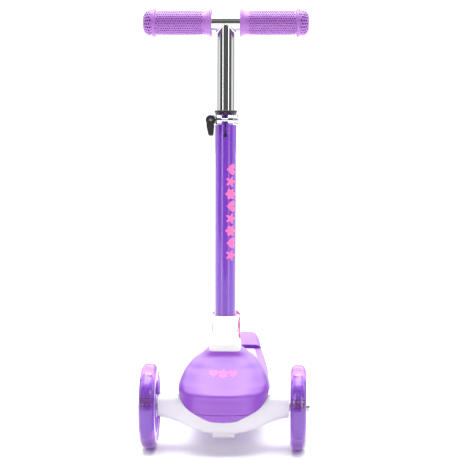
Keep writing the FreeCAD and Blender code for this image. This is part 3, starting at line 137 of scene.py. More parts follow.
class StudioSizes(bpy.types.PropertyGroup):
    """Camera place and lens, from the ground point below the front axle, and the floor's size."""
    camera_distance: length("Camera Distance", 2200, "Camera ahead of the front axle, on the ground")
    camera_height: length("Camera Height", 560, "Camera above the ground")
    camera_azimuth: FloatProperty(name="Camera Azimuth", description="Camera round to the right",
                                  default=math.radians(2.75), subtype="ANGLE", unit="ROTATION")
    camera_pitch: FloatProperty(name="Camera Pitch", description="Camera tilted down",
                                default=math.radians(6.54), subtype="ANGLE", unit="ROTATION")
    focal_length: FloatProperty(name="Focal Length", description="Lens, in millimetres",
                                default=125.5, min=1, subtype="DISTANCE_CAMERA")
    floor_size: length("Floor Size", 12000, "Studio floor across")


# ---------------------------------------------------------------- materials
def add(tree, kind, values=None, links=None, **settings):
    """Add a node with its settings, its socket values and its links from other sockets."""
    node = tree.nodes.new(kind)
    for name, setting in settings.items():
        setattr(node, name, setting)
    for socket, value in (values or {}).items():
        node.inputs[socket].default_value = value
    for socket, source in (links or {}).items():
        tree.links.new(source, node.inputs[socket])
    return node


def blank(name):
    """A material with an empty node tree."""
    material = bpy.data.materials.new(name)
    material.use_nodes = True
    material.node_tree.nodes.clear()
    return material, material.node_tree


def close(material, shader):
    """End a material's tree in its shader."""
    add(material.node_tree, "ShaderNodeOutputMaterial", links={"Surface": shader.outputs[0]})
    return material


def per_mm(millimetres):
    """Texture scale for a feature of that real size."""
    return 1000 / millimetres


def noise(tree, millimetres, detail=2.0, roughness=0.5):
    """Height or mask from noise with features of a real size."""
    place = add(tree, "ShaderNodeTexCoord").outputs["Object"]
    return add(tree, "ShaderNodeTexNoise", {"Scale": per_mm(millimetres), "Detail": detail,
                                            "Roughness": roughness}, {"Vector": place}).outputs["Fac"]


def between(tree, source, low, high, low_out, high_out):
    """Map a mask from one range to another."""
    return add(tree, "ShaderNodeMapRange", {"From Min": low, "From Max": high, "To Min": low_out,
                                            "To Max": high_out}, {"Value": source}).outputs["Result"]


def combined(tree, operation, first, *others):
    """Masks put together by one operation."""
    for other in others:
        first = add(tree, "ShaderNodeMath", links={0: first, 1: other}, operation=operation).outputs[0]
    return first


def shaded(tree, source, base, darker, lighter):
    """A base colour that drifts a little darker and lighter with a mask."""
    ramp = add(tree, "ShaderNodeValToRGB", links={"Fac": source})
    for element, factor in zip(ramp.color_ramp.elements, (darker, lighter)):
        element.color = tuple(min(1, c * factor) for c in base[:3]) + (1,)
    ramp.color_ramp.elements[0].position = 0.3
    ramp.color_ramp.elements[1].position = 0.7
    return ramp.outputs["Color"]


def bumped(tree, height, distance_mm, strength):
    """Normal of a relief that is that deep."""
    return add(tree, "ShaderNodeBump", {"Distance": distance_mm * MM, "Strength": strength},
               {"Height": height}).outputs["Normal"]


def moulded_polypropylene(base):
    """Injection-moulded polypropylene from a spark-eroded mould: satin, with a very fine even grain."""
    material, tree = blank("polypropylene_moulded_satin_purple")
    grain, drift = noise(tree, 0.7, 3), noise(tree, 35, 2)
    shader = add(tree, "ShaderNodeBsdfPrincipled", {
        "IOR": 1.49, "Coat Weight": 1.0, "Coat Roughness": 0.42, "Coat IOR": 1.5}, {
        "Base Color": shaded(tree, drift, base, 0.96, 1.03),
        "Roughness": between(tree, grain, 0.3, 0.7, 0.40, 0.52),
        "Normal": bumped(tree, grain, 0.04, 0.5)})
    return close(material, shader)


def moulded_nylon(base):
    """Glass-filled nylon, moulded smooth: white, half gloss, with faint flow marks."""
    material, tree = blank("glass_filled_nylon_moulded_white")
    flow, grain = noise(tree, 18, 4, 0.6), noise(tree, 0.5, 2)
    shader = add(tree, "ShaderNodeBsdfPrincipled", {"IOR": 1.53}, {
        "Base Color": shaded(tree, flow, base, 0.985, 1.0),
        "Roughness": between(tree, flow, 0.3, 0.7, 0.26, 0.36),
        "Normal": bumped(tree, grain, 0.02, 0.3)})
    return close(material, shader)


def powder_coat(base):
    """Gloss polyester powder coat on steel tube: hard shine over a faint orange peel."""
    material, tree = blank("polyester_powder_coat_gloss_purple")
    peel, drift = noise(tree, 2.2, 1), noise(tree, 60, 2)
    shader = add(tree, "ShaderNodeBsdfPrincipled", {
        "IOR": 1.5, "Coat Weight": 1.0, "Coat Roughness": 0.04, "Coat IOR": 1.5}, {
        "Base Color": shaded(tree, drift, base, 0.97, 1.03),
        "Roughness": between(tree, drift, 0.3, 0.7, 0.22, 0.28),
        "Normal": bumped(tree, peel, 0.015, 0.4)})
    return close(material, shader)


def chrome_plate():
    """Decorative chrome over polished steel tube: near mirror, with hairline polishing marks."""
    material, tree = blank("chrome_plate_polished")
    smudge = noise(tree, 25, 3)
    shader = add(tree, "ShaderNodeBsdfPrincipled", {
        "Base Color": linear(0xCFD0D1), "Metallic": 1.0}, {
        "Roughness": between(tree, smudge, 0.35, 0.75, 0.035, 0.09)})
    return close(material, shader)


def zinc_plate():
    """Bright zinc plate on steel fasteners: cool grey, softly blurred shine with a fine crystal grain."""
    material, tree = blank("zinc_plate_bright_steel")
    grain = noise(tree, 0.6, 4)
    shader = add(tree, "ShaderNodeBsdfPrincipled", {
        "Metallic": 1.0}, {
        "Base Color": shaded(tree, grain, linear(0xC2C5CA), 0.9, 1.05),
        "Roughness": between(tree, grain, 0.3, 0.7, 0.18, 0.34),
        "Normal": bumped(tree, grain, 0.02, 0.4)})
    return close(material, shader)


def cast_aluminium():
    """Die-cast aluminium, tumbled: pale grey with a fine pebbled skin."""
    material, tree = blank("aluminium_die_cast_tumbled")
    pebble = noise(tree, 1.2, 5)
    shader = add(tree, "ShaderNodeBsdfPrincipled", {"Metallic": 1.0}, {
        "Base Color": shaded(tree, pebble, linear(0xBFC0C2), 0.93, 1.04),
        "Roughness": between(tree, pebble, 0.3, 0.7, 0.32, 0.5),
        "Normal": bumped(tree, pebble, 0.05, 0.5)})
    return close(material, shader)


def moulded_black_nylon():
    """Black nylon, moulded: half gloss with a faint texture."""
    material, tree = blank("nylon_moulded_black")
    grain = noise(tree, 0.8, 3)
    shader = add(tree, "ShaderNodeBsdfPrincipled", {"IOR": 1.53}, {
        "Base Color": shaded(tree, grain, linear(0x17171A), 0.85, 1.15),
        "Roughness": between(tree, grain, 0.3, 0.7, 0.3, 0.42),
        "Normal": bumped(tree, grain, 0.03, 0.4)})
    return close(material, shader)


def moulded_abs(base):
    """ABS, moulded in a polished tool: clean bright gloss."""
    material, tree = blank("abs_moulded_gloss_pink")
    drift = noise(tree, 12, 2)
    shader = add(tree, "ShaderNodeBsdfPrincipled", {"IOR": 1.54}, {
        "Base Color": shaded(tree, drift, base, 0.97, 1.02),
        "Roughness": between(tree, drift, 0.3, 0.7, 0.2, 0.28)})
    return close(material, shader)


def moulded_polycarbonate(base):
    """Tinted polycarbonate, moulded: glossy and slightly see-through."""
    material, tree = blank("polycarbonate_moulded_tinted_purple")
    drift = noise(tree, 14, 2)
    shader = add(tree, "ShaderNodeBsdfPrincipled", {
        "IOR": 1.58, "Transmission Weight": 0.15}, {
        "Base Color": shaded(tree, drift, base, 0.96, 1.03),
        "Roughness": between(tree, drift, 0.3, 0.7, 0.14, 0.2)})
    return close(material, shader)


def soft_elastomer(name, base, rough, grain_mm):
    """Thermoplastic elastomer, moulded: soft rubbery satin with a dusty sheen."""
    material, tree = blank(name)
    grain, drift = noise(tree, grain_mm, 3), noise(tree, 20, 2)
    shader = add(tree, "ShaderNodeBsdfPrincipled", {
        "IOR": 1.5, "Coat Weight": 0.8, "Coat Roughness": rough, "Coat IOR": 1.5,
        "Sheen Weight": 0.1, "Sheen Roughness": 0.4}, {
        "Base Color": shaded(tree, drift, base, 0.95, 1.03),
        "Roughness": between(tree, grain, 0.3, 0.7, rough - 0.05, rough + 0.08),
        "Normal": bumped(tree, grain, 0.05, 0.5)})
    return close(material, shader)


def cast_polyurethane(base):
    """Clear-tinted polyurethane, cast in a polished mould: wet gloss, and light passes some way in."""
    material, tree = blank("polyurethane_cast_clear_purple")
    ripple = noise(tree, 9, 2)
    shader = add(tree, "ShaderNodeBsdfPrincipled", {
        "IOR": 1.5, "Transmission Weight": 0.85, "Coat Weight": 0.4, "Coat Roughness": 0.03}, {
        "Base Color": shaded(tree, ripple, base, 0.97, 1.03),
        "Roughness": between(tree, ripple, 0.3, 0.7, 0.06, 0.12)})
    return close(material, shader)


def printed_film(base):
    """Pad-printed ink: flat, slightly glossy, with a dry screen texture."""
    material, tree = blank("ink_pad_printed_pink")
    grain = noise(tree, 0.5, 2)
    shader = add(tree, "ShaderNodeBsdfPrincipled", {"IOR": 1.5}, {
        "Base Color": shaded(tree, grain, base, 0.97, 1.02),
        "Roughness": between(tree, grain, 0.3, 0.7, 0.3, 0.42)})
    return close(material, shader)


def clear_lens():
    """Clear epoxy over a white light chip: bright, wet gloss."""
    material, tree = blank("epoxy_cast_clear_white")
    haze = noise(tree, 1.5, 2)
    shader = add(tree, "ShaderNodeBsdfPrincipled", {"IOR": 1.54, "Coat Weight": 1.0}, {
        "Base Color": shaded(tree, haze, linear(0xF7F7FF), 0.97, 1.0),
        "Roughness": between(tree, haze, 0.3, 0.7, 0.06, 0.12)})
    return close(material, shader)


def enamelled_copper():
    """Lacquered copper winding wire: warm metal with a slight varnish blur."""
    material, tree = blank("copper_wire_enamelled")
    tone = noise(tree, 0.8, 2)
    shader = add(tree, "ShaderNodeBsdfPrincipled", {"Metallic": 1.0}, {
        "Base Color": shaded(tree, tone, linear(0xC4693C), 0.85, 1.1),
        "Roughness": between(tree, tone, 0.3, 0.7, 0.22, 0.36)})
    return close(material, shader)


def painted_floor(base):
    """Studio floor, rolled matt paint: pale and even, with a trace of roller stipple."""
    material, tree = blank("emulsion_rolled_matt_white")
    stipple = noise(tree, 4, 2)
    shader = add(tree, "ShaderNodeBsdfPrincipled", {"IOR": 1.45}, {
        "Base Color": shaded(tree, stipple, base, 0.995, 1.0),
        "Roughness": between(tree, stipple, 0.3, 0.7, 0.55, 0.65)})
    return close(material, shader)


def finishes(context):
    """Every finish by its record slot, made once and then shared."""
    if "finishes" not in SHARED:
        tint = context.scene.scooter_colours
        SHARED["finishes"] = {
            "deck_plastic": moulded_polypropylene(tint.shell),
            "white_plastic": moulded_nylon(tint.white),
            "tube_paint": powder_coat(tint.tube),
            "chrome": chrome_plate(),
            "steel": zinc_plate(),
            "aluminium": cast_aluminium(),
            "black_plastic": moulded_black_nylon(),
            "pink_plastic": moulded_abs(tint.pink),
            "mat_rubber": soft_elastomer("elastomer_moulded_mat_lilac", tint.mat, 0.6, 1.0),
            "grip_rubber": soft_elastomer("elastomer_moulded_grip_purple", tint.grips, 0.42, 0.6),
            "tyre_urethane": cast_polyurethane(tint.tyres),
            "core_plastic": moulded_polycarbonate(tint.cores),
            "urethane": soft_elastomer("polyurethane_cast_bushing_amber", linear(0xC9B48C), 0.4, 1.5),
            "black_rubber": soft_elastomer("rubber_moulded_brake_black", linear(0x1A1A1C), 0.65, 0.8),
            "print": printed_film(tint.print_pink),
            "lamp": clear_lens(),
            "copper": enamelled_copper(),
        }
    return SHARED["finishes"]


# ---------------------------------------------------------------- mesh helpers
def rounded(corners, steps=5):
    """An outline with round corners. Each corner is (along, out, rounding)."""
    outline = []
    last = len(corners) - 1
    for i, (along, out, rounding) in enumerate(corners):
        here = Vector((along, out))
        if rounding == 0 or i in (0, last):
            outline.append((along, out))
            continue
        back = Vector(corners[i - 1][:2]) - here
        ahead = Vector(corners[i + 1][:2]) - here
        reach = rounding / math.tan(back.angle(ahead) / 2)
        reach = min(reach, back.length * 0.49, ahead.length * 0.49)
        start, end = here + back.normalized() * reach, here + ahead.normalized() * reach
        for k in range(steps + 1):
            t = k / steps
            outline.append(tuple((1 - t) ** 2 * start + 2 * t * (1 - t) * here + t * t * end))
    return outline


def bridge(bm, first, second):
    """Faces between two rings of vertices, either of which may be a single point."""
    count = max(len(first), len(second))
    for i in range(count):
        corners = [first[i % len(first)], first[(i + 1) % len(first)],
                   second[(i + 1) % len(second)], second[i % len(second)]]
        unique = list(dict.fromkeys(corners))
        if len(unique) > 2:
            bm.faces.new(unique)


def join(bm, rings):
    """Bridge each ring to the next."""
    for first, second in zip(rings, rings[1:]):
        bridge(bm, first, second)


def angles(count, start=0.0):
    """Even angles round a circle."""
    return [start + 2 * math.pi * i / count for i in range(count)]


def skin(bm, rings, profile, count):
    """Add rings round local X for a (station, radius) profile, bridged on after the last ring.
    Radius 0 is a point on the axis."""
    for station, radius in profile:
        if radius <= 0:
            ring = [bm.verts.new((station, 0, 0))]
        else:
            ring = [bm.verts.new((station, radius * math.cos(a), radius * math.sin(a)))
                    for a in angles(count)]
        if rings:
            bridge(bm, rings[-1], ring)
        rings.append(ring)
    return rings


def spin(bm, section, count):
    """Spin a closed (station, radius) section round local X."""
    rings = skin(bm, [], section, count)
    bridge(bm, rings[-1], rings[0])


def piece(name, bm, place, body, material, nodes=(), sharp=35, bevel=0.0):
    """Turn a bmesh drawn in a local frame into a piece that rides on its CAD body."""
    bmesh.ops.remove_doubles(bm, verts=bm.verts, dist=0.002 * MM)
    bmesh.ops.recalc_face_normals(bm, faces=bm.faces)
    mesh = bpy.data.meshes.new(name)
    bm.to_mesh(mesh)
    bm.free()
    mesh.transform(place)
    mesh.shade_smooth()
    mesh.set_sharp_from_angle(angle=math.radians(sharp))
    mesh.materials.append(material)
    thing = bpy.data.objects.new(name, mesh)
    bpy.context.scene.collection.objects.link(thing)
    if bevel:
        edge = thing.modifiers.new("edge", "BEVEL")
        edge.width, edge.segments, edge.limit_method = bevel, 3, "ANGLE"
        edge.harden_normals = True
    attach(thing, body)
    if nodes:
        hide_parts(*nodes)
    return thing


def along_x(sign):
    """Turns local +X to a side of the scooter."""
    return UPRIGHT if sign > 0 else Matrix.Rotation(math.pi, 4, "Z")


# ---------------------------------------------------------------- frame finishes
class SCOOTER_OT_frame_finishes(bpy.types.Operator):
    """Give every CAD piece that stays on show its real finish"""
    bl_idname = "scooter.frame_finishes"
    bl_label = "Frame Finishes"

    def execute(self, context):
        material = finishes(context)
        for row in frame["record"]["subparts"]:
            for slot in frame["nodes"][row["node"]].material_slots:
                slot.material = material[row["material_slot"]]
        return {"FINISHED"}


# ---------------------------------------------------------------- grips
def path_along(profile):
    """Length of a (station, radius) profile, and a function that gives the point and outward way
    at a distance along it."""
    points = [Vector(p) for p in profile]
    steps = [(b - a).length for a, b in zip(points, points[1:])]

    def at(distance):
        for first, second, step in zip(points, points[1:], steps):
            if distance <= step or second is points[-1]:
                along = (second - first) / step
                return first + along * distance, Vector((-along.y, along.x))
            distance -= step
    return sum(steps), at


def pitted_band(bm, profile, columns, rows, width, depth):
    """Skin round local X with staggered rows of blind round holes. Returns its two end rings."""
    total, at = path_along(profile)
    half_steps = 2 * columns + 1
    step, turn = total / half_steps, math.pi / rows
    grid = {}

    def place(i, j, across=0.0, around=0.0, sink=0.0):
        spot, out = at(min(total, max(0.0, i * step + across)))
        spot = spot - out * sink
        angle = j * turn + around / spot.y
        return Vector((spot.x, spot.y * math.cos(angle), spot.y * math.sin(angle)))

    def corner(i, j):
        key = i, j % (2 * rows)
        if key not in grid:
            grid[key] = bm.verts.new(place(*key))
        return grid[key]

    rim = ((-1, -1), (0, -1), (1, -1), (1, 0), (1, 1), (0, 1), (-1, 1), (-1, 0))
    for row in range(rows):
        middle, offset = 2 * row + 1, row % 2
        for column in range(columns):
            i = 2 * column + 1 + offset
            outer = [corner(i + a, middle + b) for a, b in rim]
            for share, sink in ((1.0, 0.0), (0.9, 0.25 * depth), (0.78, depth)):
                inner = []
                for k in range(8):
                    angle = math.pi * (-0.75 + k / 4)
                    inner.append(bm.verts.new(place(i, middle, share * width / 2 * math.cos(angle),
                                                    share * width / 2 * math.sin(angle), sink)))
                bridge(bm, outer, inner)
                outer = inner
            bm.faces.new(outer)
        i = half_steps - 1 if offset == 0 else 0
        for j in (middle - 1, middle):
            bm.faces.new([corner(i, j), corner(i + 1, j), corner(i + 1, j + 1), corner(i, j + 1)])
    return [[corner(i, j) for j in range(2 * rows)] for i in (0, half_steps)]


class SCOOTER_OT_grips(bpy.types.Operator):
    """Add the two soft grips: flared inner flange, dimpled body, ring and pierced end cap"""
    bl_idname = "scooter.grips"
    bl_label = "Grips"

    def execute(self, context):
        sizes = context.scene.scooter_sizes
        for side, sign in SIDES:
            low, high = box_in(COLUMN, f"grip_{side}")
            inner = low.x if sign > 0 else -high.x
            place = COLUMN @ Matrix.Translation((sign * inner, 0, (low.z + high.z) / 2)) @ along_x(sign)
            bm = bmesh.new()
            self.draw_grip(bm, sizes, high.x - low.x, (high.z - low.z) / 2)
            piece(f"grip_{side}_soft", bm, place, "handlebar",
                  finishes(context)["grip_rubber"], (f"grip_{side}",), sharp=40)
        return {"FINISHED"}

    def draw_grip(self, bm, sizes, end, flange):
        """Half section from the inner flange to the end cap, then back along the bar."""
        rows, bar = sizes.dimple_rows, BAR_RADIUS + 0.1 * MM
        body = flange - 3.2 * MM
        cap = end - 17.5 * MM
        inner = rounded([(0, bar, 0), (0, flange - 0.4 * MM, 0.5 * MM), (1.0 * MM, flange, 0.5 * MM),
                         (2.2 * MM, flange - 0.2 * MM, 0.6 * MM), (3.6 * MM, flange - 1.9 * MM, 2 * MM),
                         (7.5 * MM, body + 0.2 * MM, 3 * MM), (12 * MM, body, 0)])
        rings = skin(bm, [], inner, 2 * rows)
        bulge = [(12 * MM, body), (30 * MM, body + 0.35 * MM), (46 * MM, body + 0.45 * MM),
                 (62 * MM, body + 0.35 * MM), (cap - 1 * MM, body)]
        columns = round(path_along(bulge)[0] / sizes.dimple_pitch - 0.5)
        first, last = pitted_band(bm, bulge, columns, rows, sizes.dimple_width, sizes.dimple_depth)
        bridge(bm, rings[-1], first)
        ring = rounded([(cap - 0.4 * MM, body, 0), (cap + 0.4 * MM, flange - 0.6 * MM, 0.6 * MM),
                        (cap + 1.2 * MM, flange, 0.6 * MM), (cap + 3.8 * MM, flange, 0.8 * MM),
                        (cap + 4.9 * MM, flange - 1.6 * MM, 0.8 * MM),
                        (cap + 5.4 * MM, body + 1.0 * MM, 0)])
        rings = skin(bm, [last], ring, 2 * rows)
        dome = [(cap + 5.4 * MM, body + 1.0 * MM), (cap + 9 * MM, body + 0.9 * MM),
                (cap + 12 * MM, body + 0.1 * MM), (end - 3 * MM, body - 1.6 * MM),
                (end - 1.4 * MM, body - 3.6 * MM)]
        vents = rows - rows // 4
        vents -= vents % 2
        before, after = pitted_band(bm, rounded([(x, r, 3 * MM) for x, r in dome], 3), 3, vents,
                                    sizes.vent_width, sizes.vent_depth)
        self.stitch(bm, rings[-1], before)
        close_end = rounded([(end - 0.7 * MM, body - 5.0 * MM, 0), (end, body - 8 * MM, 2 * MM),
                             (end, 0, 0)])
        skin(bm, [after], close_end, len(after))
        skin(bm, [], [(0, bar), (end - 4 * MM, bar), (end - 4 * MM, 0)], 2 * rows)

    def stitch(self, bm, coarse, fine):
        """Join two rings that have different numbers of vertices."""
        i = j = 0
        while i < len(coarse) or j < len(fine):
            a, b = coarse[i % len(coarse)], fine[j % len(fine)]
            if j >= len(fine) or (i < len(coarse) and (i + 1) / len(coarse) <= (j + 1) / len(fine)):
                i += 1
                bm.faces.new((a, coarse[i % len(coarse)], b))
            else:
                j += 1
                bm.faces.new((a, fine[j % len(fine)], b))


# ---------------------------------------------------------------- wheels
def wheel_frame(side, sign):
    """A front wheel's own frame, outboard at local +X."""
    return Matrix.Translation(JOINTS[f"{side}_wheel_spin"]["pos_m"]) @ along_x(sign)


REAR = Matrix.Translation(JOINTS["rear_wheel_spin"]["pos_m"])


def tyre_outline(half, seat, outside, crown):
    """Section of a cast tyre: seat, sidewalls with a moulded ring, round shoulders, parting ridge."""
    step = 0.5 * MM
    right = [(half - 0.3 * MM, seat + 0.08 * MM, 0), (half - 0.3 * MM, seat + 1.2 * MM, 0.3 * MM),
             (half - 0.9 * MM, seat + 1.8 * MM, 0.3 * MM), (half - 0.9 * MM, seat + 3.2 * MM, 0.3 * MM),
             (half, seat + 4.0 * MM, 0.5 * MM), (half, outside - crown * 0.62, crown * 0.5),
             (half - crown * 0.36, outside - crown * 0.16, crown * 0.4),
             (half - crown * 0.8, outside - 0.25 * MM, crown * 0.3),
             (step, outside - 0.12 * MM, 0.2 * MM), (0.25 * MM, outside, 0)]
    left = [(-x, r, fillet) for x, r, fillet in reversed(right)]
    return rounded(right + left, 6)


class SCOOTER_OT_tyres(bpy.types.Operator):
    """Add the cast tyres of the three wheels"""
    bl_idname = "scooter.tyres"
    bl_label = "Tyres"

    def execute(self, context):
        clear = finishes(context)["tyre_urethane"]
        wheels = [(f"tyre_{side}", wheel_frame(side, sign), f"wheel_{side}", 45 * MM, 9.5 * MM)
                  for side, sign in SIDES]
        wheels.append(("rear_tyre", REAR, "wheel_rear", 27 * MM, 6 * MM))
        for node, place, body, seat, crown in wheels:
            low, high = box_in(place, node)
            bm = bmesh.new()
            outline = tyre_outline((high.x - low.x) / 2, seat, (high.y - low.y) / 2, crown)
            spin(bm, outline, 144)
            piece(f"{node}_cast", bm, place, body, clear, (node,), sharp=60)
        return {"FINISHED"}


class SCOOTER_OT_lamps(bpy.types.Operator):
    """Add the light modules between core and tyre: board, coil and light packages"""
    bl_idname = "scooter.lamps"
    bl_label = "Wheel Lamps"
    LAMPS = 5

    def execute(self, context):
        finish = finishes(context)
        for side, sign in SIDES:
            place = wheel_frame(side, sign)
            node = f"lamp_modules_{side}"
            board, lights, coils = bmesh.new(), bmesh.new(), bmesh.new()
            low, high = box_in(place, node)
            top, half = high.z, (high.x - low.x) / 2
            for angle in angles(self.LAMPS):
                turn = Matrix.Rotation(angle, 4, "X")
                self.slab(board, turn, (0, 0, top - 4.4 * MM), (half, 5.8 * MM, 1.1 * MM))
                for x in (-4.6 * MM, 0, 4.6 * MM):
                    self.dome(lights, turn, (x, 2.6 * MM, top - 3.3 * MM), 1.5 * MM, 2.9 * MM)
                self.coil(coils, turn, (0, -2.7 * MM, top - 3.3 * MM), 2.2 * MM, half - 1.5 * MM)
            body = f"wheel_{side}"
            piece(f"lamp_boards_{side}", board, place, body, finish["black_plastic"],
                  (node,), bevel=0.15 * MM)
            piece(f"lamp_lights_{side}", lights, place, body, finish["lamp"])
            piece(f"lamp_coils_{side}", coils, place, body, finish["copper"])
        return {"FINISHED"}

    def slab(self, bm, turn, middle, halves):
        """Block about a middle, from its half sizes."""
        for vertex in bmesh.ops.create_cube(bm, size=2)["verts"]:
            vertex.co = turn @ (Vector(middle) + Vector(vertex.co[i] * halves[i] for i in range(3)))

    def dome(self, bm, turn, foot, radius, height):
        """Round-topped clear light package."""
        rings = []
        for lift, size in ((0, 1), (0.5, 1), (0.7, 0.92), (0.87, 0.7), (0.97, 0.36), (1, 0)):
            if size == 0:
                rings.append([bm.verts.new(turn @ (Vector(foot) + Vector((0, 0, height))))])
            else:
                rings.append([bm.verts.new(turn @ (Vector(foot) + Vector((
                    radius * size * math.cos(a), radius * size * math.sin(a), lift * height))))
                    for a in angles(12)])
        join(bm, rings)

    def coil(self, bm, turn, middle, radius, half):
        """Pick-up coil along the axle, wound in ridges."""
        count, turns = 16, 14
        rings = []
        for k in range(2 * turns + 1):
            x = -half + k * half / turns
            size = radius * (0.82 if k % 2 == 0 else 1.0)
            rings.append([bm.verts.new(turn @ (Vector(middle) + Vector((
                x, size * math.cos(a), size * math.sin(a) + radius * 0.6))))
                for a in angles(count)])
        join(bm, rings)
        bm.faces.new(rings[0])
        bm.faces.new(rings[-1])


class SCOOTER_OT_bearings(bpy.types.Operator):
    """Add the shielded ball bearings of the three wheels"""
    bl_idname = "scooter.bearings"
    bl_label = "Bearings"

    def execute(self, context):
        steel = finishes(context)["steel"]
        wheels = [(f"bearings_{side}", wheel_frame(side, sign), f"wheel_{side}") for side, sign in SIDES]
        wheels.append(("rear_bearings", REAR, "wheel_rear"))
        for node, place, body in wheels:
            low, high = box_in(place, node)
            bm = bmesh.new()
            for middle in (low.x + 3.5 * MM, high.x - 3.5 * MM):
                spin(bm, self.section(middle, 3.5 * MM, 4.05 * MM, 11 * MM), 72)
            piece(f"{node}_shielded", bm, place, body, steel, (node,))
        return {"FINISHED"}

    def section(self, middle, half, bore, outside):
        """Inner ring, sunk shield and outer ring, on both faces."""
        face = [(0, bore), (half - 0.4 * MM, bore), (half, bore + 0.4 * MM), (half, bore + 1.9 * MM),
                (half - 0.7 * MM, bore + 2.0 * MM), (half - 0.5 * MM, bore + 2.5 * MM),
                (half - 0.35 * MM, outside - 2.4 * MM), (half - 0.7 * MM, outside - 1.9 * MM),
                (half, outside - 1.8 * MM), (half, outside - 0.5 * MM), (half - 0.5 * MM, outside)]
        right = [(middle + x, r) for x, r in face]
        left = [(middle - x, r) for x, r in reversed(face[1:])]
        return right + left


# ---------------------------------------------------------------- fasteners
def socket_head(bm, profile, across, depth, count=48):
    """Spin a screw's half section and sink a hexagon socket in its last, flat face."""
    rings = skin(bm, [], profile, count)
    top = profile[-1][0]
    for share, station in ((1.0, top), (1.0, top - depth), (0.0, top - depth - across * 0.2)):
        if share == 0:
            ring = [bm.verts.new((station, 0, 0))]
        else:
            ring = []
            for angle in angles(count):
                flat = (angle + math.pi / 6) % (math.pi / 3) - math.pi / 6
                radius = across / 2 / math.cos(flat)
                ring.append(bm.verts.new((station, radius * math.cos(angle), radius * math.sin(angle))))
        bridge(bm, rings[-1], ring)
        rings.append(ring)


class SCOOTER_OT_fasteners(bpy.types.Operator):
    """Add the socket-head axle bolts and the column's button screws"""
    bl_idname = "scooter.fasteners"
    bl_label = "Fasteners"

    def execute(self, context):
        steel = finishes(context)["steel"]
        for side, sign in SIDES:
            place = wheel_frame(side, sign)
            node = f"axle_bolt_{side}"
            low, high = box_in(place, node)
            piece(f"{node}_socket", self.axle_bolt(low.x, high.x, 5.5 * MM), place, "truck",
                  steel, (node,))
        low, high = box_in(REAR, "rear_axle_bolt")
        flip = Matrix.Rotation(math.pi, 4, "Z")
        piece("rear_axle_bolt_socket", self.axle_bolt(-high.x, -low.x, 5 * MM), REAR @ flip, "deck",
              steel, ("rear_axle_bolt",))
        low, high = box_in(COLUMN, "knuckle_screws")
        bm = bmesh.new()
        for z in (34 * MM, 50 * MM):
            start = len(bm.verts)
            socket_head(bm, [(3 * MM, 0), (3 * MM, 2.5 * MM), (15 * MM, 2.5 * MM), (15 * MM, 4.5 * MM)]
                        + rounded([(15 * MM, 4.5 * MM, 0), (high.y - 0.7 * MM, 4.2 * MM, 0.4 * MM),
                                   (high.y, 2.9 * MM, 0.6 * MM), (high.y, 2.3 * MM, 0)])[1:],
                        3 * MM, 1.2 * MM, 36)
            bm.verts.ensure_lookup_table()
            turn = Matrix.Translation((0, 0, z)) @ Matrix.Rotation(math.pi / 2, 4, "Z")
            bmesh.ops.transform(bm, matrix=turn, verts=bm.verts[start:])
        piece("knuckle_screws_socket", bm, COLUMN, "column", steel, ("knuckle_screws",))
        return {"FINISHED"}

    def axle_bolt(self, start, end, head):
        """An 8 mm bolt along local X, with a socket head of that length at its end."""
        neck = end - head
        bm = bmesh.new()
        socket_head(bm, [(start, 0), (start, 3.4 * MM), (start + 0.6 * MM, 4 * MM), (neck, 4 * MM),
                         (neck, 6 * MM)] + rounded([
                             (neck, 6 * MM, 0), (end - 1.2 * MM, 6 * MM, 0),
                             (end, 6 * MM, 0.9 * MM), (end, 4.6 * MM, 0)])[1:], 5 * MM, 3 * MM)
        return bm


# ---------------------------------------------------------------- handlebar
class SCOOTER_OT_handlebar(bpy.types.Operator):
    """Add the chromed T-bar and the rippled weld where its stem meets the crossbar"""
    bl_idname = "scooter.handlebar"
    bl_label = "Handlebar"

    def execute(self, context):
        chrome = finishes(context)["chrome"]
        low, high = box_in(COLUMN, "t_bar")
        radius, wall = BAR_RADIUS, 1.8 * MM
        bar = high.z - radius
        bm = bmesh.new()
        tube = self.cut_end(low.x, radius, wall)
        tube += [(-x, r) for x, r in reversed(tube)]
        spin(bm, tube, 96)
        bmesh.ops.translate(bm, verts=bm.verts, vec=(0, 0, bar))
        start = len(bm.verts)
        stem = self.cut_end(low.z, radius, wall) + [(bar - 1 * MM, radius), (bar - 1 * MM, radius - wall)]
        spin(bm, stem, 96)
        bm.verts.ensure_lookup_table()
        for vertex in bm.verts[start:]:
            station, y, x = vertex.co
            angle = math.atan2(y, x)
            top = bar - radius * abs(math.cos(angle)) + 0.5 * MM
            vertex.co = (x, y, min(station, top))
        piece("t_bar_tube", bm, COLUMN, "handlebar", chrome, ("t_bar",), sharp=30)
        bm = bmesh.new()
        self.weld(bm, bar, radius)
        piece("t_bar_weld", bm, COLUMN, "handlebar", chrome, sharp=80)
        return {"FINISHED"}

    def cut_end(self, station, radius, wall):
        """End of a tube's section, its edges broken inside and outside."""
        return [(station + 0.3 * MM, radius - wall), (station, radius - wall + 0.3 * MM),
                (station, radius - 0.4 * MM), (station + 0.4 * MM, radius)]

    def weld(self, bm, bar, radius):
        """A closed rippled bead along the line where the two tubes meet."""
        around, sides, ripples = 220, 14, 34
        rings = []
        for angle in angles(around):
            c, s = math.cos(angle), math.sin(angle)
            saddle = Vector((radius * c, radius * s, bar - radius * math.hypot(c, 0.2)))
            out = (Vector((0, s, -abs(c))) + Vector((c, s, 0))).normalized()
            side = out.cross(Vector((-s, c, 0)).normalized()).normalized()
            size = (0.9 + 1.5 * abs(c) ** 1.5) * MM * (1 + 0.07 * math.sin(angle * ripples))
            middle = saddle - out * (0.15 * MM)
            rings.append([bm.verts.new(middle + (out * math.sin(b) + side * math.cos(b)) * size)
                          for b in angles(sides)])
        join(bm, rings + rings[:1])


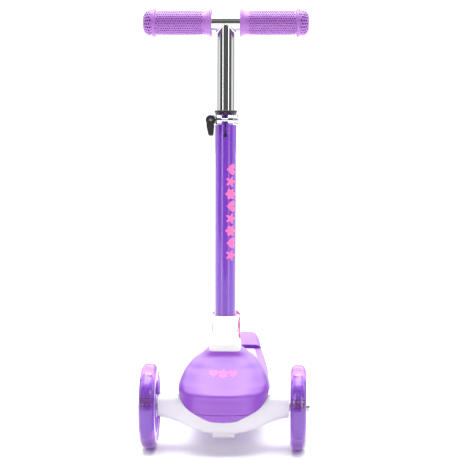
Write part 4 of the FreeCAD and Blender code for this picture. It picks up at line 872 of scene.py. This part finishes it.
# ---------------------------------------------------------------- deck mat
class SCOOTER_OT_mat_studs(bpy.types.Operator):
    """Add the raised studs of the grip mat"""
    bl_idname = "scooter.mat_studs"
    bl_label = "Mat Studs"
    ROW = 0.866  # one row to the next in a staggered pattern, in pitches

    def execute(self, context):
        sizes = context.scene.scooter_sizes
        surface = BVHTree.FromObject(frame["nodes"]["grip_mat"], bpy.context.evaluated_depsgraph_get())
        low, high = box_in(UPRIGHT, "grip_mat")
        bm = bmesh.new()
        pitch, size = sizes.stud_pitch, sizes.stud_width / 2
        line = pitch * self.ROW
        rows = int((high.y - low.y) / line)
        columns = int((high.x - low.x) / pitch) + 2
        ways = [Vector((a, b, 0)) for a, b in ((1, 0), (-1, 0), (0, 1), (0, -1), (0.7, 0.7), (-0.7, 0.7),
                                               (0.7, -0.7), (-0.7, -0.7))]
        for row in range(rows + 1):
            for column in range(-columns // 2, columns // 2 + 1):
                spot = Vector(((column + 0.5 * (row % 2)) * pitch, low.y + (row + 0.5) * line, high.z))
                if all(self.on_top(surface, spot + way * (size + 2.2 * MM), high.z) for way in ways):
                    self.stud(bm, spot, size, sizes.stud_height)
        piece("grip_mat_studs", bm, UPRIGHT, "deck", finishes(context)["mat_rubber"],
              sharp=50)
        return {"FINISHED"}

    def on_top(self, surface, spot, top):
        """Whether the mat's flat top lies under a spot."""
        hit = surface.ray_cast(spot + Vector((0, 0, 10 * MM)), Vector((0, 0, -1)))[0]
        return hit is not None and abs(hit.z - top) < 0.3 * MM

    def stud(self, bm, spot, size, height):
        """Low six-sided stud with a chamfered top, sunk a little into the mat."""
        rings = []
        for radius, lift in ((size, -0.3 * MM), (size, height * 0.55), (size * 0.78, height)):
            rings.append([bm.verts.new(spot + Vector((radius * math.cos(a), radius * math.sin(a), lift)))
                          for a in angles(6, math.pi / 6)])
        join(bm, rings)
        bm.faces.new(rings[-1])


# ---------------------------------------------------------------- printed shapes
def heart(angle):
    """Outline of a heart about its middle, 1 unit across, tip at -Y."""
    x = 16 * math.sin(angle) ** 3
    y = 13 * math.cos(angle) - 5 * math.cos(2 * angle) - 2 * math.cos(3 * angle) - math.cos(4 * angle)
    return x / 32, (y + 2.5) / 32


def star(angle):
    """Outline of a soft five-pointed star, 1 unit across."""
    wave = (math.cos(5 * angle) + 1) / 2
    radius = 0.245 + 0.265 * wave ** 1.6
    return radius * math.sin(angle), radius * math.cos(angle)


def flower(angle):
    """Outline of a six-petalled flower, 1 unit across."""
    radius = 0.5 - 0.2 * (1 - abs(math.cos(3 * angle))) ** 1.3
    return radius * math.sin(angle), radius * math.cos(angle)


def print_shape(bm, outline, size, surface):
    """Lay a printed film of that outline on surface(across, up, lift); lift 0 is its sunk edge."""
    steps, rings = 84, 5
    points = [outline(angle) for angle in angles(steps)]
    layers = [[bm.verts.new(surface(0, 0, 1))]]
    for share, lift in [(k / rings, 1) for k in range(1, rings + 1)] + [(1.002, 0)]:
        layers.append([bm.verts.new(surface(x * size * share, y * size * share, lift)) for x, y in points])
    join(bm, layers)


def film_height(sizes, lift):
    """Height of a printed film above the surface it follows."""
    return lift * (sizes.print_gap + sizes.print_thickness) - (1 - lift) * SUNK


class SCOOTER_OT_prints(bpy.types.Operator):
    """Add the plain printed shapes on the steering tube and the nose"""
    bl_idname = "scooter.prints"
    bl_label = "Printed Shapes"

    def execute(self, context):
        sizes = context.scene.scooter_sizes
        ink = finishes(context)["print"]
        low, high = box_in(COLUMN, "steering_tube")
        radius = (high.x - low.x) / 2
        bm = bmesh.new()
        for i, outline in enumerate((heart, star, flower, heart, star, flower, heart, star)):
            self.on_tube(bm, outline, 15.5 * MM, radius, math.radians(32),
                         high.z - (77 + 17.2 * i) * MM, sizes)
        piece("tube_print", bm, COLUMN, "column", ink, sharp=50)

        cover = BVHTree.FromObject(frame["nodes"]["nose_cover"], bpy.context.evaluated_depsgraph_get())
        bm = bmesh.new()
        axle = Vector(JOINTS["left_wheel_spin"]["pos_m"])
        for x, outline, size in ((-13.4, heart, 12.5), (0, flower, 14), (13.4, heart, 12.5)):
            self.on_nose(bm, outline, size * MM, cover,
                         Vector((x * MM, axle.y - 14 * MM, 108 * MM)), sizes)
        piece("nose_print", bm, UPRIGHT, "deck", ink, sharp=50)
        return {"FINISHED"}

    def on_tube(self, bm, outline, size, radius, turn, height, sizes):
        """Wrapped on the tube, its top towards the right-hand side."""
        def surface(across, up, lift):
            r = radius + film_height(sizes, lift)
            angle = turn + up / radius
            return Vector((r * math.sin(angle), -r * math.cos(angle), height - across))
        print_shape(bm, outline, size, surface)

    def on_nose(self, bm, outline, size, cover, middle, sizes):
        """Laid on the nose from above and in front."""
        look = Vector((0, 0.66, -0.75)).normalized()
        up = Vector((1, 0, 0)).cross(look).normalized()

        def surface(across, rise, lift):
            start = middle + Vector((across, 0, 0)) + up * rise * 1.3 - look * 0.1
            hits = [cover.ray_cast(start + shift, look) for shift in (Vector(), up * 0.03 * MM)]
            hit, normal, _, _ = min(hits, key=lambda found: found[3] if found[0] else 1)
            if hit is None:
                raise RuntimeError("a printed shape misses the nose")
            return hit + normal * film_height(sizes, lift)
        print_shape(bm, outline, size, surface)


# ---------------------------------------------------------------- studio
class SCOOTER_OT_studio(bpy.types.Operator):
    """Add the plain pale floor, the soft studio lights and the camera"""
    bl_idname = "scooter.studio"
    bl_label = "Studio"

    def execute(self, context):
        sizes = context.scene.studio_sizes
        axle = JOINTS["left_wheel_spin"]["pos_m"]
        ground = Vector((0, axle[1], 0))
        self.floor(context, sizes)
        self.lights(context, ground)
        self.camera(context, sizes, ground)
        self.surroundings(context)
        context.scene.view_settings.view_transform = "Standard"
        return {"FINISHED"}

    def surroundings(self, context):
        """White above and behind and dim in front, with a grey flag low on each side, so that bright
        metal shows dark edges."""
        world = bpy.data.worlds.new("studio")
        context.scene.world = world
        world.use_nodes = True
        tree = world.node_tree
        tree.nodes.clear()
        way = add(tree, "ShaderNodeSeparateXYZ",
                  links={0: add(tree, "ShaderNodeTexCoord").outputs["Generated"]})
        behind = between(tree, way.outputs["Y"], -0.22, -0.1, 0.14, 1.15)
        across = add(tree, "ShaderNodeMath", links={0: way.outputs["X"]}, operation="ABSOLUTE").outputs[0]
        inside = between(tree, across, 0.42, 0.5, 1.0, 0.3)
        outside = between(tree, across, 0.78, 0.86, 0.0, 1.0)
        high = between(tree, way.outputs["Z"], 0.3, 0.45, 0.0, 2.3)
        above = between(tree, way.outputs["Z"], 0.84, 0.95, 0.0, 1.4)
        flags = combined(tree, "MAXIMUM", inside, outside, high)
        light = combined(tree, "MAXIMUM", combined(tree, "MULTIPLY", behind, flags), above)
        shader = add(tree, "ShaderNodeBackground", {"Color": linear(0xFFFFFF)}, {"Strength": light})
        add(tree, "ShaderNodeOutputWorld", links={"Surface": shader.outputs[0]})

    def floor(self, context, sizes):
        """A large flat floor under the scooter."""
        bm = bmesh.new()
        bmesh.ops.create_grid(bm, x_segments=1, y_segments=1, size=sizes.floor_size / 2)
        mesh = bpy.data.meshes.new("floor")
        bm.to_mesh(mesh)
        bm.free()
        mesh.materials.append(painted_floor(context.scene.scooter_colours.floor))
        floor = bpy.data.objects.new("floor", mesh)
        context.scene.collection.objects.link(floor)

    def lights(self, context, ground):
        """A tall strip softbox on each side of the camera, and a wide one overhead."""
        for name, place, aim, width, height, watts in (
                ("left_strip", (-1.15, -1.5, 0.95), (0, 0, 0.3), 0.3, 2.0, 6.5),
                ("right_strip", (1.2, -1.45, 0.95), (0, 0, 0.3), 0.3, 2.0, 6.5),
                ("overhead", (0, 0.15, 2.4), (0, 0.14, 0), 1.6, 1.8, 42)):
            lamp = bpy.data.lights.new(name, "AREA")
            lamp.shape, lamp.size, lamp.size_y, lamp.energy = "RECTANGLE", width, height, watts
            light = bpy.data.objects.new(name, lamp)
            light.location = ground + Vector(place)
            direction = ground + Vector(aim) - light.location
            light.rotation_euler = direction.to_track_quat("-Z", "Y").to_euler()
            context.scene.collection.objects.link(light)

    def camera(self, context, sizes, ground):
        """The camera in front, above and a little to the right, with a slight lens shift."""
        lens = bpy.data.cameras.new("camera")
        lens.lens, lens.sensor_width = sizes.focal_length, 36
        lens.shift_x, lens.shift_y = 0.0133, 0.0011
        lens.clip_start = 0.05
        camera = bpy.data.objects.new("camera", lens)
        turn = sizes.camera_azimuth
        camera.location = ground + Vector((sizes.camera_distance * math.sin(turn),
                                           -sizes.camera_distance * math.cos(turn), sizes.camera_height))
        camera.rotation_euler = (math.pi / 2 - sizes.camera_pitch, 0, turn)
        context.scene.collection.objects.link(camera)
        context.scene.camera = camera


# ---------------------------------------------------------------- panel and registration
class SCOOTER_PT_looks(bpy.types.Panel):
    """Lists the scooter's colours, sizes and build steps"""
    bl_idname = "SCOOTER_PT_looks"
    bl_label = "Kick Scooter"
    bl_space_type = "VIEW_3D"
    bl_region_type = "UI"
    bl_category = "Scooter"

    def draw(self, context):
        for group in (context.scene.scooter_colours, context.scene.scooter_sizes,
                      context.scene.studio_sizes):
            for name in group.__annotations__:
                self.layout.prop(group, name)
        for operator in OPERATORS:
            self.layout.operator(operator.bl_idname)


GROUPS = {"scooter_colours": ScooterColours, "scooter_sizes": ScooterSizes, "studio_sizes": StudioSizes}
OPERATORS = (SCOOTER_OT_frame_finishes, SCOOTER_OT_grips, SCOOTER_OT_tyres, SCOOTER_OT_lamps,
             SCOOTER_OT_bearings, SCOOTER_OT_fasteners, SCOOTER_OT_handlebar, SCOOTER_OT_mat_studs,
             SCOOTER_OT_prints, SCOOTER_OT_studio)


def register():
    for cls in (*GROUPS.values(), *OPERATORS, SCOOTER_PT_looks):
        bpy.utils.register_class(cls)
    for name, cls in GROUPS.items():
        setattr(bpy.types.Scene, name, PointerProperty(type=cls))


def unregister():
    for name in GROUPS:
        delattr(bpy.types.Scene, name)
    for cls in (SCOOTER_PT_looks, *reversed(OPERATORS), *reversed(GROUPS.values())):
        bpy.utils.unregister_class(cls)


def main():
    register()
    for operator in OPERATORS:
        family, step = operator.bl_idname.split(".")
        getattr(getattr(bpy.ops, family), step)()


if __name__ == "__main__":
    main()
